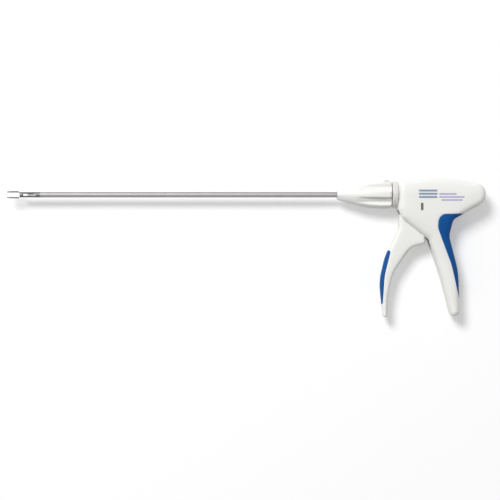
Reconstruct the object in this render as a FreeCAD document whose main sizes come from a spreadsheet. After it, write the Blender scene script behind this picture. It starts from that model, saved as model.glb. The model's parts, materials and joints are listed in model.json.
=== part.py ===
"""Endoscopic clip applier, lying on its side.

X runs along the shaft from the jaws (negative) to the butt of the handle, Y points up out of the
handle's top edge, and Z points away from the surface that the instrument lies on. The origin is on
the shaft's axis, in the plane of the rotation knob's nose. All sizes are millimetres.
"""

import FreeCAD, Part
import math
import os

import Sketcher

Vector = FreeCAD.Vector

SIZES = {
    # Shaft
    "tube_radius": 2.7,
    "tube_bore": 2.35,
    "tube_front": -298.5,
    "tube_rear": 22.0,
    "tube_step": 0.2,
    "tube_seat_radius": 2.5,
    "sleeve_front": -318.6,
    "sleeve_front_radius": 2.6,
    "window_front": -316.0,
    "window_rear": -302.5,
    "window_half": 1.3,
    # Jaws, upper one drawn, lower one its mirror image
    "jaw_tip": -331.5,
    "jaw_shoulder": -319.4,
    "jaw_gap": 2.3,
    "jaw_thickness": 1.35,
    "jaw_half_width": 1.25,
    "jaw_root": -298.0,
    "jaw_root_offset": 1.2,
    "leg_radius": 0.7,
    "leg_low": -0.55,
    "leg_high": 0.4,
    "leg_inner": 0.9,
    "leg_outer": 1.7,
    "leg_flare": -311.5,
    "retainer_front": -301.2,
    "retainer_rear": -293.0,
    "retainer_half": 2.1,
    "retainer_low": -0.8,
    "retainer_high": 0.2,
    # Clips and their feed
    "clip_pitch": 8.0,
    "clip_count": 15,
    "clip_length": 6.4,
    "clip_half": 1.8,
    "clip_wire": 0.55,
    "clip_low": 0.6,
    "clip_high": 1.2,
    "stack_front": -306.4,
    "track_low": 0.25,
    "track_high": 0.5,
    "track_half": 2.15,
    "track_rear": -176.0,
    "shoe_length": 5.0,
    "feed_low": 1.35,
    "feed_high": 1.8,
    "feed_half": 1.3,
    "feed_front": -304.0,
    "feed_tube_radius": 1.95,
    "feed_tube_bore": 1.25,
    "feed_tube_front": 30.0,
    "collar_front": 82.0,
    "collar_thickness": 2.4,
    "collar_radius": 3.4,
    # Closure
    "cam_front": -311.0,
    "cam_length": 5.0,
    "cam_opening": 1.85,
    "cam_radius": 2.25,
    "cam_low": -0.75,
    "strip_low": -1.75,
    "strip_high": -0.95,
    "strip_half": 1.2,
    "rod_radius": 1.0,
    "rod_front": 10.0,
    "rod_lap": 6.0,
    "rod_head_front": 93.5,
    "rod_head_thickness": 2.6,
    "rod_head_radius": 3.2,
    # Rotation knob
    "knob_length": 54.3,
    "knob_gap": 0.7,
    "knob_nose_radius": 5.4,
    "knob_radius": 14.7,
    "knob_core": 11.2,
    "knob_bevel": 1.6,
    "knob_full": 0.8,
    "knob_mid": 0.5,
    "knob_mid_drop": 1.9,
    "fin_root": 9.0,
    "fin_count": 6,
    "fin_half": 2.5,
    "fin_front": 12.0,
    "fin_turn": 20.0,
    "pip_centre": 48.6,
    "pip_half": 3.4,
    "pip_radius": 16.9,
    "pip_half_width": 1.4,
    "seal_length": 1.6,
    "seal_inset": 0.5,
    "seal_radius": 4.6,
    "spindle_radius": 8.0,
    "spindle_front": 36.0,
    "flange_radius": 9.2,
    "flange_thickness": 1.8,
    # Handle housing
    "half_width": 15.0,
    "wall": 2.6,
    "rim_bevel": 3.2,
    "nose_radius": 13.4,
    "nose_ring_radius": 9.4,
    "nose_ring_front": 55.0,
    "nose_bevel": 1.2,
    "grip_cavity": 8.6,
    "body_cavity": 10.6,
    "deep_cavity": 12.4,
    "slot_half": 7.5,
    "pivot_x": 81.4,
    "pivot_y": -27.3,
    "pivot_radius": 2.5,
    "pivot_boss": 4.6,
    "pivot_boss_gap": 7.7,
    "pin_end": 12.3,
    "guide_x": 103.5,
    "guide_thickness": 3.0,
    "guide_bottom": -13.0,
    "guide_top": 11.5,
    "post_inset": 11.2,
    "post_radius": 1.6,
    "pad_wall": 2.2,
    # Trigger
    "trigger_half": 7.2,
    "trigger_bevel": 1.1,
    "fork_inner": 5.0,
    "fork_thickness": 2.0,
    "fork_hub": 5.6,
    "fork_tip": 2.8,
    "fork_tail": 15.0,
    "feed_arm": 24.0,
    "closure_arm": 12.0,
    "swing": 34.0,
    "feed_pin_radius": 1.3,
    "feed_pin_end": 9.3,
    "closure_pin_radius": 1.5,
    # Couplers
    "tail_half": 2.0,
    "block_front": 87.6,
    "block_rear": 100.0,
    "block_half": 4.5,
    "stem_radius": 2.0,
    "stem_rear": 116.0,
    "cheek_inner": 7.4,
    "cheek_thickness": 1.6,
    "cheek_half": 4.2,
    "cheek_bottom": -8.6,
    "bridge_low": 7.6,
    "bridge_high": 10.2,
    "yoke_front": 80.2,
    "yoke_rear": 86.2,
    "yoke_half": 4.7,
    # Return spring, ratchet and clip counter
    "spring_radius": 2.9,
    "spring_wire": 0.7,
    "spring_turns": 6.0,
    "rack_radius": 15.0,
    "rack_hub": 5.6,
    "rack_thickness": 1.6,
    "tooth_pitch": 5.0,
    "tooth_depth": 1.1,
    "tooth_count": 8,
    "tooth_start": -12.0,
    "pawl_angle": 50.0,
    "pawl_x": 99.2,
    "pawl_y": -13.4,
    "pawl_hub": 2.4,
    "pawl_pin_radius": 1.2,
    "wheel_x": 92.0,
    "wheel_y": -12.3,
    "wheel_radius": 9.4,
    "wheel_low": 10.1,
    "wheel_high": 11.6,
    "wheel_axle": 1.5,
    "window_x": 83.9,
    "window_reach": 3.9,
    "window_round": 1.3,
    # Clearances
    "running_gap": 0.06,
    "seat_gap": 0.02,
    "body_gap": 0.3,
    "slot_play": 0.15,
    "swivel_play": 0.22,
}

CORNERS = {
    # Side view of the handle, anticlockwise from the top of its front face: x, y and rounding
    "nose_top": (60.5, 13.6, 5.5),
    "nose_bottom": (60.5, -14.5, 12.0),
    "chin": (64.5, -23.8, 10.0),
    "crook": (91.0, -45.0, 4.0),
    "grip_front": (103.6, -83.5, 150.0),
    "grip_toe": (113.5, -121.8, 5.0),
    "grip_heel": (122.9, -121.8, 5.0),
    "grip_back": (121.0, -76.0, 80.0),
    "waist": (111.8, -41.5, 16.0),
    "saddle": (115.8, -25.1, 8.0),
    "butt_bottom": (148.2, -7.0, 12.0),
    "butt_top": (148.2, 10.2, 11.0),
    "crown": (101.0, 18.3, 120.0),
    # Edge between the white shells and the blue grip covers
    "cover_end": (126.2, -19.0, 0.0),
    "cover_shoulder": (101.0, -19.8, 8.0),
    "cover_waist": (99.6, -33.0, 16.0),
    "cover_side": (113.5, -69.5, 60.0),
    "cover_tip": (121.8, -104.0, 0.0),
    # Front view of one handle half: height above the parting plane along the handle
    "brow": (26.0, 11.0, 0.0),
    "cheek_top": (4.0, 15.0, 40.0),
    "cheek_bottom_side": (-24.0, 15.0, 60.0),
    "grip_side": (-62.0, 12.0, 80.0),
    "grip_end": (-132.0, 11.4, 0.0),
    # Trigger, anticlockwise from the top of its front edge
    "web_front": (62.2, -19.6, 1.5),
    "web_chin": (61.4, -34.0, 14.0),
    "finger_top": (48.3, -62.0, 60.0),
    "finger_belly": (42.4, -87.0, 60.0),
    "finger_toe": (46.0, -123.0, 2.0),
    "finger_heel": (50.2, -123.0, 2.0),
    "finger_low": (51.2, -101.0, 80.0),
    "finger_bend": (56.0, -78.5, 40.0),
    "arch": (74.2, -51.6, 14.0),
    "web_rear": (85.8, -47.4, 2.0),
    "web_top": (89.1, -19.6, 7.0),
    # Edge between the trigger and its blue facing
    "facing_top": (53.6, -56.0, 2.0),
    "facing_middle": (47.2, -81.5, 60.0),
    "facing_bottom": (45.4, -110.0, 1.5),
}
for name, (along, across, rounding) in CORNERS.items():
    SIZES[f"{name}_along"] = along
    SIZES[f"{name}_across"] = across
    SIZES[f"{name}_round"] = rounding

doc = FreeCAD.newDocument("clip_applier")
sheet = doc.addObject("Spreadsheet::Sheet", "sizes")
for row, (name, number) in enumerate(SIZES.items(), 1):
    sheet.set(f"A{row}", name)
    sheet.set(f"B{row}", str(number))
    sheet.setAlias(f"B{row}", name)
doc.recompute()


class Size:
    """A length or angle that carries its value and the sheet expression that gives it."""

    def __init__(self, value, text):
        self.value = float(value)
        self.text = text

    def _with(self, other, sign, value):
        text = other.text if isinstance(other, Size) else repr(other)
        return Size(value, f"({self.text} {sign} {text})")

    def __add__(self, other):
        return self._with(other, "+", self.value + number_of(other))

    def __sub__(self, other):
        return self._with(other, "-", self.value - number_of(other))

    def __mul__(self, other):
        return self._with(other, "*", self.value * number_of(other))

    def __truediv__(self, other):
        return self._with(other, "/", self.value / number_of(other))

    def __neg__(self):
        return self * -1

    def sine(self):
        return Size(math.sin(math.radians(self.value)), f"sin({self.text} * 1 deg)")

    def cosine(self):
        return Size(math.cos(math.radians(self.value)), f"cos({self.text} * 1 deg)")

    def root(self):
        return Size(math.sqrt(self.value), f"sqrt({self.text})")


def number_of(thing):
    return thing.value if isinstance(thing, Size) else float(thing)


def text_of(thing):
    return thing.text if isinstance(thing, Size) else repr(thing)


class Sheet:
    """Gives each sheet cell as a Size, by its alias."""

    def __getattr__(self, alias):
        return Size(sheet.get(alias), f"sizes.{alias}")


S = Sheet()
bodies = []


def new_body(label):
    body = doc.addObject("PartDesign::Body", label)
    body.Label = label
    bodies.append(body)
    return body


def axis_of(body, role):
    return next(f for f in body.Origin.OriginFeatures if f.Role == role)


def sketch_on(body, role, offset=0.0):
    """A sketch on one of the body's origin planes, moved along that plane's normal."""
    made = body.newObject("Sketcher::SketchObject", f"{body.Name}_sketch")
    made.AttachmentSupport = (axis_of(body, role), "")
    made.MapMode = "FlatFace"
    if number_of(offset):
        made.setExpression("AttachmentOffset.Base.z", text_of(offset))
    return made


def constrain(made, held):
    """Adds (constraint, size) pairs to a sketch and binds each Size to its expression."""
    places = made.addConstraint([constraint for constraint, _ in held])
    for at, (_, size) in zip(places, held):
        if isinstance(size, Size):
            made.setExpression(f"Constraints[{at}]", size.text)


def sized(kind, size, *where):
    return Sketcher.Constraint(kind, *where, number_of(size)), size


def tied(kind, *where):
    return Sketcher.Constraint(kind, *where), None


def pinned(geometry, end, x, y):
    """The constraints that fix a point of a sketch at x, y from its origin."""
    return [
        sized("DistanceX", x, -1, 1, geometry, end),
        sized("DistanceY", y, -1, 1, geometry, end),
    ]


def loop(made, corners):
    """A closed polygon whose corners (x, y, radius) are rounded by tangent arcs."""
    count = len(corners)
    points = [Vector(number_of(x), number_of(y), 0) for x, y, _ in corners]
    starts, stops = [], []
    for i, (_, _, radius) in enumerate(corners):
        back = (points[i - 1] - points[i]).normalize()
        ahead = (points[(i + 1) % count] - points[i]).normalize()
        half = math.acos(max(-1.0, min(1.0, back.dot(ahead)))) / 2
        reach = number_of(radius) / math.tan(half) if number_of(radius) else 0.0
        starts.append(points[i] + back * reach)
        stops.append(points[i] + ahead * reach)
    lines = [
        made.addGeometry(Part.LineSegment(stops[i], starts[(i + 1) % count]))
        for i in range(count)
    ]
    held = []
    for i, (x, y, radius) in enumerate(corners):
        before, after = lines[i - 1], lines[i]
        if not number_of(radius):
            held.append(tied("Coincident", before, 2, after, 1))
            held += pinned(after, 1, x, y)
            continue
        arc, forward = add_arc(made, starts[i], stops[i], points[i], number_of(radius))
        first, last = (1, 2) if forward else (2, 1)
        corner = made.addGeometry(Part.Point(points[i]), True)
        held.append(tied("Tangent", before, 2, arc, first))
        held.append(tied("Tangent", arc, last, after, 1))
        held.append(sized("Radius", radius, arc))
        held += pinned(corner, 1, x, y)
        held.append(tied("PointOnObject", corner, 1, before))
        held.append(tied("PointOnObject", corner, 1, after))
    constrain(made, held)


def add_arc(made, start, stop, corner, radius):
    """The arc that rounds a corner, and whether it runs from start to stop."""
    middle = (start + stop) * 0.5
    inward = (middle - corner).normalize()
    reach = math.hypot((start - corner).Length, radius)
    centre = corner + inward * reach
    turn = (corner - start).cross(stop - corner).z
    first, last = (start, stop) if turn > 0 else (stop, start)
    low = math.atan2(first.y - centre.y, first.x - centre.x)
    high = math.atan2(last.y - centre.y, last.x - centre.x)
    if high < low:
        high += 2 * math.pi
    circle_of = Part.Circle(centre, Vector(0, 0, 1), radius)
    return made.addGeometry(Part.ArcOfCircle(circle_of, low, high)), turn > 0


def rectangle(made, low_x, low_y, high_x, high_y, radius=0.0):
    loop(
        made,
        [
            (low_x, low_y, radius),
            (high_x, low_y, radius),
            (high_x, high_y, radius),
            (low_x, high_y, radius),
        ],
    )


def circle(made, x, y, radius):
    centre = Vector(number_of(x), number_of(y), 0)
    at = made.addGeometry(Part.Circle(centre, Vector(0, 0, 1), number_of(radius)))
    constrain(made, [*pinned(at, 3, x, y), sized("Radius", radius, at)])


def feature(body, kind, made, length=None, both=False, back=False):
    """A pad or pocket of a sketch: one way, the other way (back), or both ways."""
    if kind == "Pocket":
        doc.recompute()
        before = body.Tip.Shape.Volume
    made_feature = body.newObject(f"PartDesign::{kind}", f"{body.Name}_{kind}")
    made_feature.Profile = made
    if both:
        made_feature.SideType = "Symmetric"
    if length is None:
        made_feature.Type = "ThroughAll"
    else:
        made_feature.setExpression("Length", text_of(length))
    made_feature.Reversed = back
    if kind == "Pocket":
        doc.recompute()
        if made_feature.Shape.Volume > before - 1e-6:
            raise SystemExit(f"{made_feature.Name} cuts nothing")
    return made_feature


def pad(body, made, length, both=False, back=False):
    return feature(body, "Pad", made, length, both, back)


def pocket(body, made, length=None, both=False, back=False):
    return feature(body, "Pocket", made, length, both, back)


def turned(body, made):
    """A full turn of a sketch about the X axis."""
    whole = body.newObject("PartDesign::Revolution", f"{body.Name}_turned")
    whole.Profile = made
    whole.ReferenceAxis = (axis_of(body, "X_Axis"), [""])
    whole.Angle = 360.0
    return whole


def bevelled(body, size, wanted):
    """Chamfers the edges of the body's tip for which wanted(edge, shape) is true."""
    doc.recompute()
    tip = body.Tip
    shape = tip.Shape
    names = [f"Edge{i}" for i, e in enumerate(shape.Edges, 1) if wanted(e, shape)]
    made = body.newObject("PartDesign::Chamfer", f"{body.Name}_bevel")
    made.Base = (tip, names)
    made.setExpression("Size", text_of(size))
    return made


def around_axis(body, source, count):
    """Repeats a feature about the X axis."""
    made = body.newObject("PartDesign::PolarPattern", f"{body.Name}_pattern")
    made.Originals = [source]
    made.Axis = (axis_of(body, "X_Axis"), [""])
    made.Angle = 360.0
    made.setExpression("Occurrences", text_of(count))
    body.Tip = made
    return made


def ring(body, front, rear, outer, inner=None):
    """A cylinder along X, solid or bored."""
    made = sketch_on(body, "YZ_Plane", front)
    circle(made, 0.0, 0.0, outer)
    if inner is not None:
        circle(made, 0.0, 0.0, inner)
    return pad(body, made, rear - front)


def bar(body, front, rear, half, low, high):
    """A bar along X, centred on Y, between two heights."""
    made = sketch_on(body, "XY_Plane", low)
    rectangle(made, front, -half, rear, half)
    return pad(body, made, high - low)


def corner(name):
    return (
        getattr(S, f"{name}_along"),
        getattr(S, f"{name}_across"),
        getattr(S, f"{name}_round"),
    )


def corners(*names):
    return [corner(name) for name in names]


HANDLE = (
    "nose_top",
    "nose_bottom",
    "chin",
    "crook",
    "grip_front",
    "grip_toe",
    "grip_heel",
    "grip_back",
    "waist",
    "saddle",
    "butt_bottom",
    "butt_top",
    "crown",
)
WHITE_EDGE = ("cover_tip", "cover_side", "cover_waist", "cover_shoulder", "cover_end")


def around_handle(made):
    """A rectangle with room to spare round the handle and the trigger, in side view."""
    rectangle(
        made,
        S.nose_ring_front - 35.0,
        S.finger_toe_across - 17.0,
        S.butt_top_along + 12.0,
        S.crown_across + 20.0,
    )


def is_rim(edge, shape):
    """True for an edge between a side wall and the outer face of a half."""
    faces = shape.ancestorsOfType(edge, Part.Face)
    middle = edge.valueAt((edge.FirstParameter + edge.LastParameter) / 2)
    if len(faces) != 2 or abs(middle.z) < 5:
        return False
    tilts = sorted(abs(f.normalAt(*f.Surface.parameter(middle)).z) for f in faces)
    return tilts[0] < 1e-3 and tilts[1] > 0.5


def handle_form(body, side):
    """One half of the whole handle: side view, crowned in front view, rim bevelled."""
    outline = sketch_on(body, "XY_Plane")
    loop(outline, corners(*HANDLE))
    pad(body, outline, S.half_width + 1.0, back=side < 0)
    crown = sketch_on(body, "YZ_Plane")
    profile = corners("brow", "cheek_top", "cheek_bottom_side", "grip_side", "grip_end")
    last, first = profile[-1], profile[0]
    profile.append((last[0], S.half_width + 5.0, 0.0))
    profile.append((first[0], S.half_width + 5.0, 0.0))
    loop(crown, [(y, z * side, radius) for y, z, radius in profile])
    pocket(body, crown, both=True)
    bevelled(body, S.rim_bevel, is_rim)


def cover_region():
    """The corners of the blue grip cover, closed outside the handle."""
    tip, side, waist, shoulder, end = corners(*WHITE_EDGE)
    return [
        (end[0] + 12.0, end[1], 0.0),
        shoulder,
        waist,
        side,
        (tip[0], tip[1], 1.5),
        (end[0] + 12.0, tip[1] - 2.0, 0.0),
    ]


def prism(label, source, inset, depth, side):
    """An outline shrunk by inset and run from the parting plane to a depth."""
    shrunk = doc.addObject("Part::Offset2D", f"{label}_outline")
    shrunk.Source = source
    shrunk.Join = "Arc"
    shrunk.setExpression("Value", text_of(-inset))
    solid = doc.addObject("Part::Extrusion", label)
    solid.Base = shrunk
    solid.DirMode = "Custom"
    solid.Dir = Vector(0, 0, side)
    solid.Solid = True
    solid.setExpression("LengthFwd", text_of(depth))
    return solid


def tool_body(label):
    """A body that only shapes another piece and isn't written by itself."""
    return doc.addObject("PartDesign::Body", label)


def joined(label, kind, *shapes):
    """A boolean of several objects: Cut or MultiFuse."""
    made = doc.addObject(f"Part::{kind}", label)
    if kind == "Cut":
        made.Base, made.Tool = shapes
    else:
        made.Shapes = list(shapes)
    made.Label = label
    return made


def post_places():
    """Where the posts that join the two shells stand: behind the spring, and down the handle."""
    return [
        (S.butt_top_along - S.post_inset, 0.0),
        (S.crown_along + 27.0, S.crown_across - 9.3),
        (S.grip_front_along + 6.0, S.grip_front_across + 3.5),
        (S.grip_toe_along + 2.1, S.grip_toe_across + 14.8),
    ]


def housing_half(label, side):
    """One white shell with its cavities, pin bosses, stem guide and joining posts."""
    back = side < 0
    form = tool_body(f"{label}_form")
    handle_form(form, side)
    cover = sketch_on(form, "XY_Plane")
    loop(cover, cover_region())
    pocket(form, cover, both=True)
    slot = sketch_on(form, "XY_Plane")
    loop(slot, trigger_slot())
    pocket(form, slot, S.slot_half * 2, both=True)
    white = sketch_on(form, "XY_Plane")
    loop(
        white,
        corners(*HANDLE[:7])
        + corners(*WHITE_EDGE)
        + corners("butt_bottom", "butt_top", "crown"),
    )
    white.Visibility = False
    hollow = prism(f"{label}_hollow", white, S.wall, S.grip_cavity, side)
    rooms = tool_body(f"{label}_rooms")
    for depth, outline in ((S.body_cavity, body_room()), (S.deep_cavity, deep_room())):
        room = sketch_on(rooms, "XY_Plane")
        loop(room, outline)
        pad(rooms, room, depth, back=back)
    ring_of = S.nose_ring_radius + S.seat_gap
    ring(rooms, S.nose_top_along - 1.0, S.nose_top_along + S.wall + 2.0, ring_of)
    if side > 0:
        window = sketch_on(rooms, "XY_Plane")
        obround(window, S.window_x, S.wheel_y, S.window_round, S.window_reach)
        pad(rooms, window, S.half_width + 1.0)
    empty = joined(f"{label}_empty", "MultiFuse", hollow, rooms)
    shell = joined(f"{label}_shell", "Cut", form, empty)
    fittings = tool_body(f"{label}_fittings")
    boss(fittings, S.pivot_x, S.pivot_y, S.pivot_boss, S.pivot_boss_gap, S.deep_cavity, side)
    guide = sketch_on(fittings, "YZ_Plane", S.guide_x)
    low, high = S.body_gap * side / 2, (S.body_cavity + 0.5) * side
    rectangle(guide, S.guide_bottom, min_of(low, high), S.guide_top, max_of(low, high))
    pad(fittings, guide, S.guide_thickness)
    stem = sketch_on(fittings, "YZ_Plane")
    circle(stem, 0.0, 0.0, S.stem_radius + S.running_gap)
    for x, y in post_places():
        boss(fittings, x, y, S.post_radius, S.body_gap / 2, S.body_cavity, side)
    if side > 0:
        seat = S.wheel_high + 0.2
        boss(fittings, S.wheel_x, S.wheel_y, S.wheel_axle + 1.2, seat, S.deep_cavity, side)
    else:
        seat = S.trigger_half + 2.2
        boss(fittings, S.pawl_x, S.pawl_y, S.pawl_hub, seat, S.deep_cavity, side)
    pocket(fittings, stem, both=True)
    holes = tool_body(f"{label}_holes")
    bored = [(S.pivot_x, S.pivot_y, S.pivot_radius)]
    if side > 0:
        bored.append((S.wheel_x, S.wheel_y, S.wheel_axle))
    else:
        bored.append((S.pawl_x, S.pawl_y, S.pawl_pin_radius))
    for x, y, radius in bored:
        hole = sketch_on(holes, "XY_Plane")
        circle(hole, x, y, radius + S.seat_gap)
        pad(holes, hole, S.deep_cavity, back=back)
    whole = joined(f"{label}_whole", "MultiFuse", shell, fittings)
    pieces.append(joined(label, "Cut", whole, holes))


def min_of(first, second):
    return first if number_of(first) < number_of(second) else second


def max_of(first, second):
    return first if number_of(first) > number_of(second) else second


def obround(made, x, y, radius, reach):
    """An upright slot, reach from its middle to each end."""
    rectangle(made, x - radius, y - reach, x + radius, y + reach, radius * 0.98)


def boss(body, x, y, radius, gap, cavity, side):
    """A round boss from near the parting plane into the wall at a cavity's floor."""
    made = sketch_on(body, "XY_Plane", gap * side)
    circle(made, x, y, radius)
    pad(body, made, cavity - gap + S.wall / 4, back=side < 0)


def trigger_slot():
    """The opening under the handle that the trigger's web swings through."""
    front, chin, crook = corner("nose_bottom"), corner("chin"), corner("crook")
    return [
        (front[0] - 4.0, front[1] - 0.9, 0.0),
        (chin[0], front[1] - 0.9, 0.0),
        (crook[0] + 9.0, crook[1] + 2.0, 2.0),
        (crook[0] + 6.0, crook[1] - 10.0, 1.0),
        (crook[0] - 3.0, crook[1] - 10.0, 0.0),
        (front[0] - 4.0, chin[1] - 8.0, 0.0),
    ]


def body_room():
    """The space for the drive inside the handle's body."""
    front = S.nose_top_along + S.wall
    return [
        (front, S.nose_top_across - S.wall - 0.5, 2.5),
        (front, -13.5, 2.0),
        (68.2, -23.5, 2.0),
        (90.5, -41.0, 2.0),
        (98.0, -41.0, 2.0),
        (97.6, -28.0, 3.0),
        (101.0, -17.3, 2.0),
        (125.0, -16.0, 2.0),
        (141.0, -7.0, 4.0),
        (144.0, 2.0, 4.0),
        (140.0, 7.8, 3.0),
        (126.0, 10.8, 3.0),
        (101.0, 14.0, 20.0),
    ]


def deep_room():
    """The deepest part, beside the trigger's pivot and the clip counter."""
    front = S.nose_top_along + S.wall
    return [
        (front, 3.0, 1.0),
        (front, -12.0, 1.0),
        (69.0, -22.5, 1.0),
        (79.0, -31.0, 1.0),
        (93.0, -31.0, 1.0),
        (97.2, -24.0, 1.0),
        (100.5, -16.9, 1.0),
        (122.0, -13.0, 1.0),
        (122.0, 3.0, 1.0),
    ]


def grip_cover(label, side):
    """One blue cover that closes the back of the grip."""
    form = tool_body(f"{label}_form")
    handle_form(form, side)
    keep = sketch_on(form, "XY_Plane")
    loop(keep, cover_region())
    around_handle(keep)
    pocket(form, keep, both=True)
    outline = sketch_on(form, "XY_Plane")
    tip, side_of, waist, shoulder, end = corners(*WHITE_EDGE)
    loop(
        outline,
        [
            (tip[0], tip[1], 0.0),
            corner("grip_back"),
            corner("waist"),
            corner("saddle"),
            (end[0], end[1], 0.0),
            shoulder,
            waist,
            side_of,
        ],
    )
    outline.Visibility = False
    hollow = prism(f"{label}_hollow", outline, S.pad_wall, S.grip_cavity, side)
    pieces.append(joined(label, "Cut", form, hollow))


def front_bearing():
    body = new_body("front_bearing")
    front = S.nose_top_along
    bore = S.spindle_radius + S.running_gap
    ring(body, S.nose_ring_front, front, S.nose_radius, bore)
    ring(body, front - 0.5, front + S.wall, S.nose_ring_radius, bore)
    bevelled(body, S.nose_bevel, lambda e, _: is_circle(e, S.nose_radius, S.nose_ring_front))


def is_circle(edge, radius, along):
    """True for a full circle of that radius about the X axis, at that place along it."""
    if not hasattr(edge.Curve, "Radius"):
        return False
    near = abs(edge.Curve.Radius - number_of(radius)) < 1e-4
    return near and abs(edge.Curve.Center.x - number_of(along)) < 1e-4


def pin(label, x, y, radius, low, high):
    body = new_body(label)
    made = sketch_on(body, "XY_Plane", low)
    circle(made, x, y, radius)
    pad(body, made, high - low)
    return body


def trigger_form(body):
    """The whole trigger with its edges rounded, before the facing is parted from it."""
    outline = sketch_on(body, "XY_Plane")
    loop(
        outline,
        corners(
            "web_front",
            "web_chin",
            "finger_top",
            "finger_belly",
            "finger_toe",
            "finger_heel",
            "finger_low",
            "finger_bend",
            "arch",
            "web_rear",
            "web_top",
        ),
    )
    pad(body, outline, S.trigger_half * 2, both=True)
    bevelled(body, S.trigger_bevel, is_rim)


def facing_region():
    top, middle, bottom = corners("facing_top", "facing_middle", "facing_bottom")
    outside = top[0] - 20.0
    return [
        (outside, top[1] + 2.0, 0.0),
        top,
        middle,
        bottom,
        (outside, bottom[1] - 1.0, 0.0),
    ]


def strap(made, near, far, near_half, far_half, gap=0.0):
    """A lever about the pivot, leaning back by half the swing, measured along its middle."""
    lean = S.swing / 2
    along_x, along_y = lean.sine(), lean.cosine()

    def at(reach, half, radius):
        return (
            S.pivot_x + along_x * reach + along_y * half,
            S.pivot_y + along_y * reach - along_x * half,
            radius,
        )

    near_half, far_half = near_half + gap, far_half + gap
    loop(
        made,
        [
            at(near - gap, -near_half, near_half * 0.9),
            at(near - gap, near_half, near_half * 0.9),
            at(far + gap, far_half, far_half * 0.9),
            at(far + gap, -far_half, far_half * 0.9),
        ],
    )


def trigger_lever():
    body = new_body("trigger_lever")
    trigger_form(body)
    facing = sketch_on(body, "XY_Plane")
    loop(facing, facing_region())
    pocket(body, facing, both=True)
    hole = sketch_on(body, "XY_Plane")
    circle(hole, S.pivot_x, S.pivot_y, S.pivot_radius + S.running_gap)
    pocket(body, hole, both=True)
    for side in (1, -1):
        seat = sketch_on(body, "XY_Plane", S.trigger_half * side)
        reach = S.feed_arm + S.fork_tip
        strap(seat, -S.fork_tail, reach, S.fork_hub, S.fork_tip, 0.1)
        pocket(body, seat, S.trigger_half - S.fork_inner + S.seat_gap, back=side < 0)


def trigger_facing():
    body = new_body("trigger_facing")
    trigger_form(body)
    keep = sketch_on(body, "XY_Plane")
    loop(keep, facing_region())
    around_handle(keep)
    pocket(body, keep, both=True)


def drive_fork():
    """Two steel arms beside the trigger's web, bored for the pivot and three pins."""
    body = new_body("drive_fork")
    body.AllowCompound = True
    lean = S.swing / 2
    for side in (1, -1):
        arm = sketch_on(body, "XY_Plane", S.fork_inner * side)
        strap(arm, -S.fork_tail, S.feed_arm + S.fork_tip, S.fork_hub, S.fork_tip)
        circle(arm, S.pivot_x, S.pivot_y, S.pivot_radius + S.running_gap)
        for reach, radius in (
            (S.feed_arm, S.feed_pin_radius),
            (S.closure_arm, S.closure_pin_radius),
        ):
            x = S.pivot_x + lean.sine() * reach
            y = S.pivot_y + lean.cosine() * reach
            circle(arm, x, y, radius + S.seat_gap)
        pad(body, arm, S.fork_thickness, back=side < 0)


def fork_pins():
    lean = S.swing / 2
    x = S.pivot_x + lean.sine() * S.closure_arm
    y = S.pivot_y + lean.cosine() * S.closure_arm
    end = S.fork_inner + S.fork_thickness
    pin("closure_pin", x, y, S.closure_pin_radius, -end, end)
    body = new_body("feed_pins")
    body.AllowCompound = True
    x = S.pivot_x + lean.sine() * S.feed_arm
    y = S.pivot_y + lean.cosine() * S.feed_arm
    for side in (1, -1):
        made = sketch_on(body, "XY_Plane", S.fork_inner * side)
        circle(made, x, y, S.feed_pin_radius)
        pad(body, made, S.feed_pin_end - S.fork_inner, back=side < 0)


def ratchet_rack():
    """A toothed sector on the trigger's web: saw teeth along its outer edge."""
    body = new_body("ratchet_rack")
    made = sketch_on(body, "XY_Plane", -S.trigger_half)
    pitch = math.degrees(number_of(S.tooth_pitch) / number_of(S.rack_radius)) * 0.5
    first = number_of(S.tooth_start)
    count = int(number_of(S.tooth_count))

    def at(radius, angle):
        turn = Size(angle, repr(angle))
        return (
            S.pivot_x + radius * turn.cosine(),
            S.pivot_y + radius * turn.sine(),
            0.0,
        )

    edge = []
    for tooth in range(count):
        edge.append(at(S.rack_radius - S.tooth_depth, first + pitch * tooth))
        edge.append(at(S.rack_radius, first + pitch * (tooth + 0.9)))
    inner = [at(S.rack_hub, first + pitch * count * share) for share in (1.0, 0.5, 0.0)]
    loop(made, edge + inner)
    pad(body, made, S.rack_thickness, back=True)


def ratchet_pawl():
    body = new_body("ratchet_pawl")
    made = sketch_on(body, "XY_Plane", -(S.trigger_half + S.running_gap))
    turn = S.pawl_angle
    reach = S.rack_radius + S.body_gap
    nose_x = S.pivot_x + reach * turn.cosine()
    nose_y = S.pivot_y + reach * turn.sine()
    loop(
        made,
        [
            (nose_x, nose_y, 0.0),
            (S.pawl_x - 1.0, S.pawl_y - S.pawl_hub, 1.5),
            (S.pawl_x + S.pawl_hub, S.pawl_y - S.pawl_hub, 2.0),
            (S.pawl_x + S.pawl_hub, S.pawl_y + S.pawl_hub, 2.0),
            (S.pawl_x - S.pawl_hub, S.pawl_y + S.pawl_hub, 2.0),
            (nose_x + 1.2, nose_y + 2.2, 0.6),
        ],
    )
    circle(made, S.pawl_x, S.pawl_y, S.pawl_pin_radius + S.running_gap)
    pad(body, made, S.rack_thickness, back=True)


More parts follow.
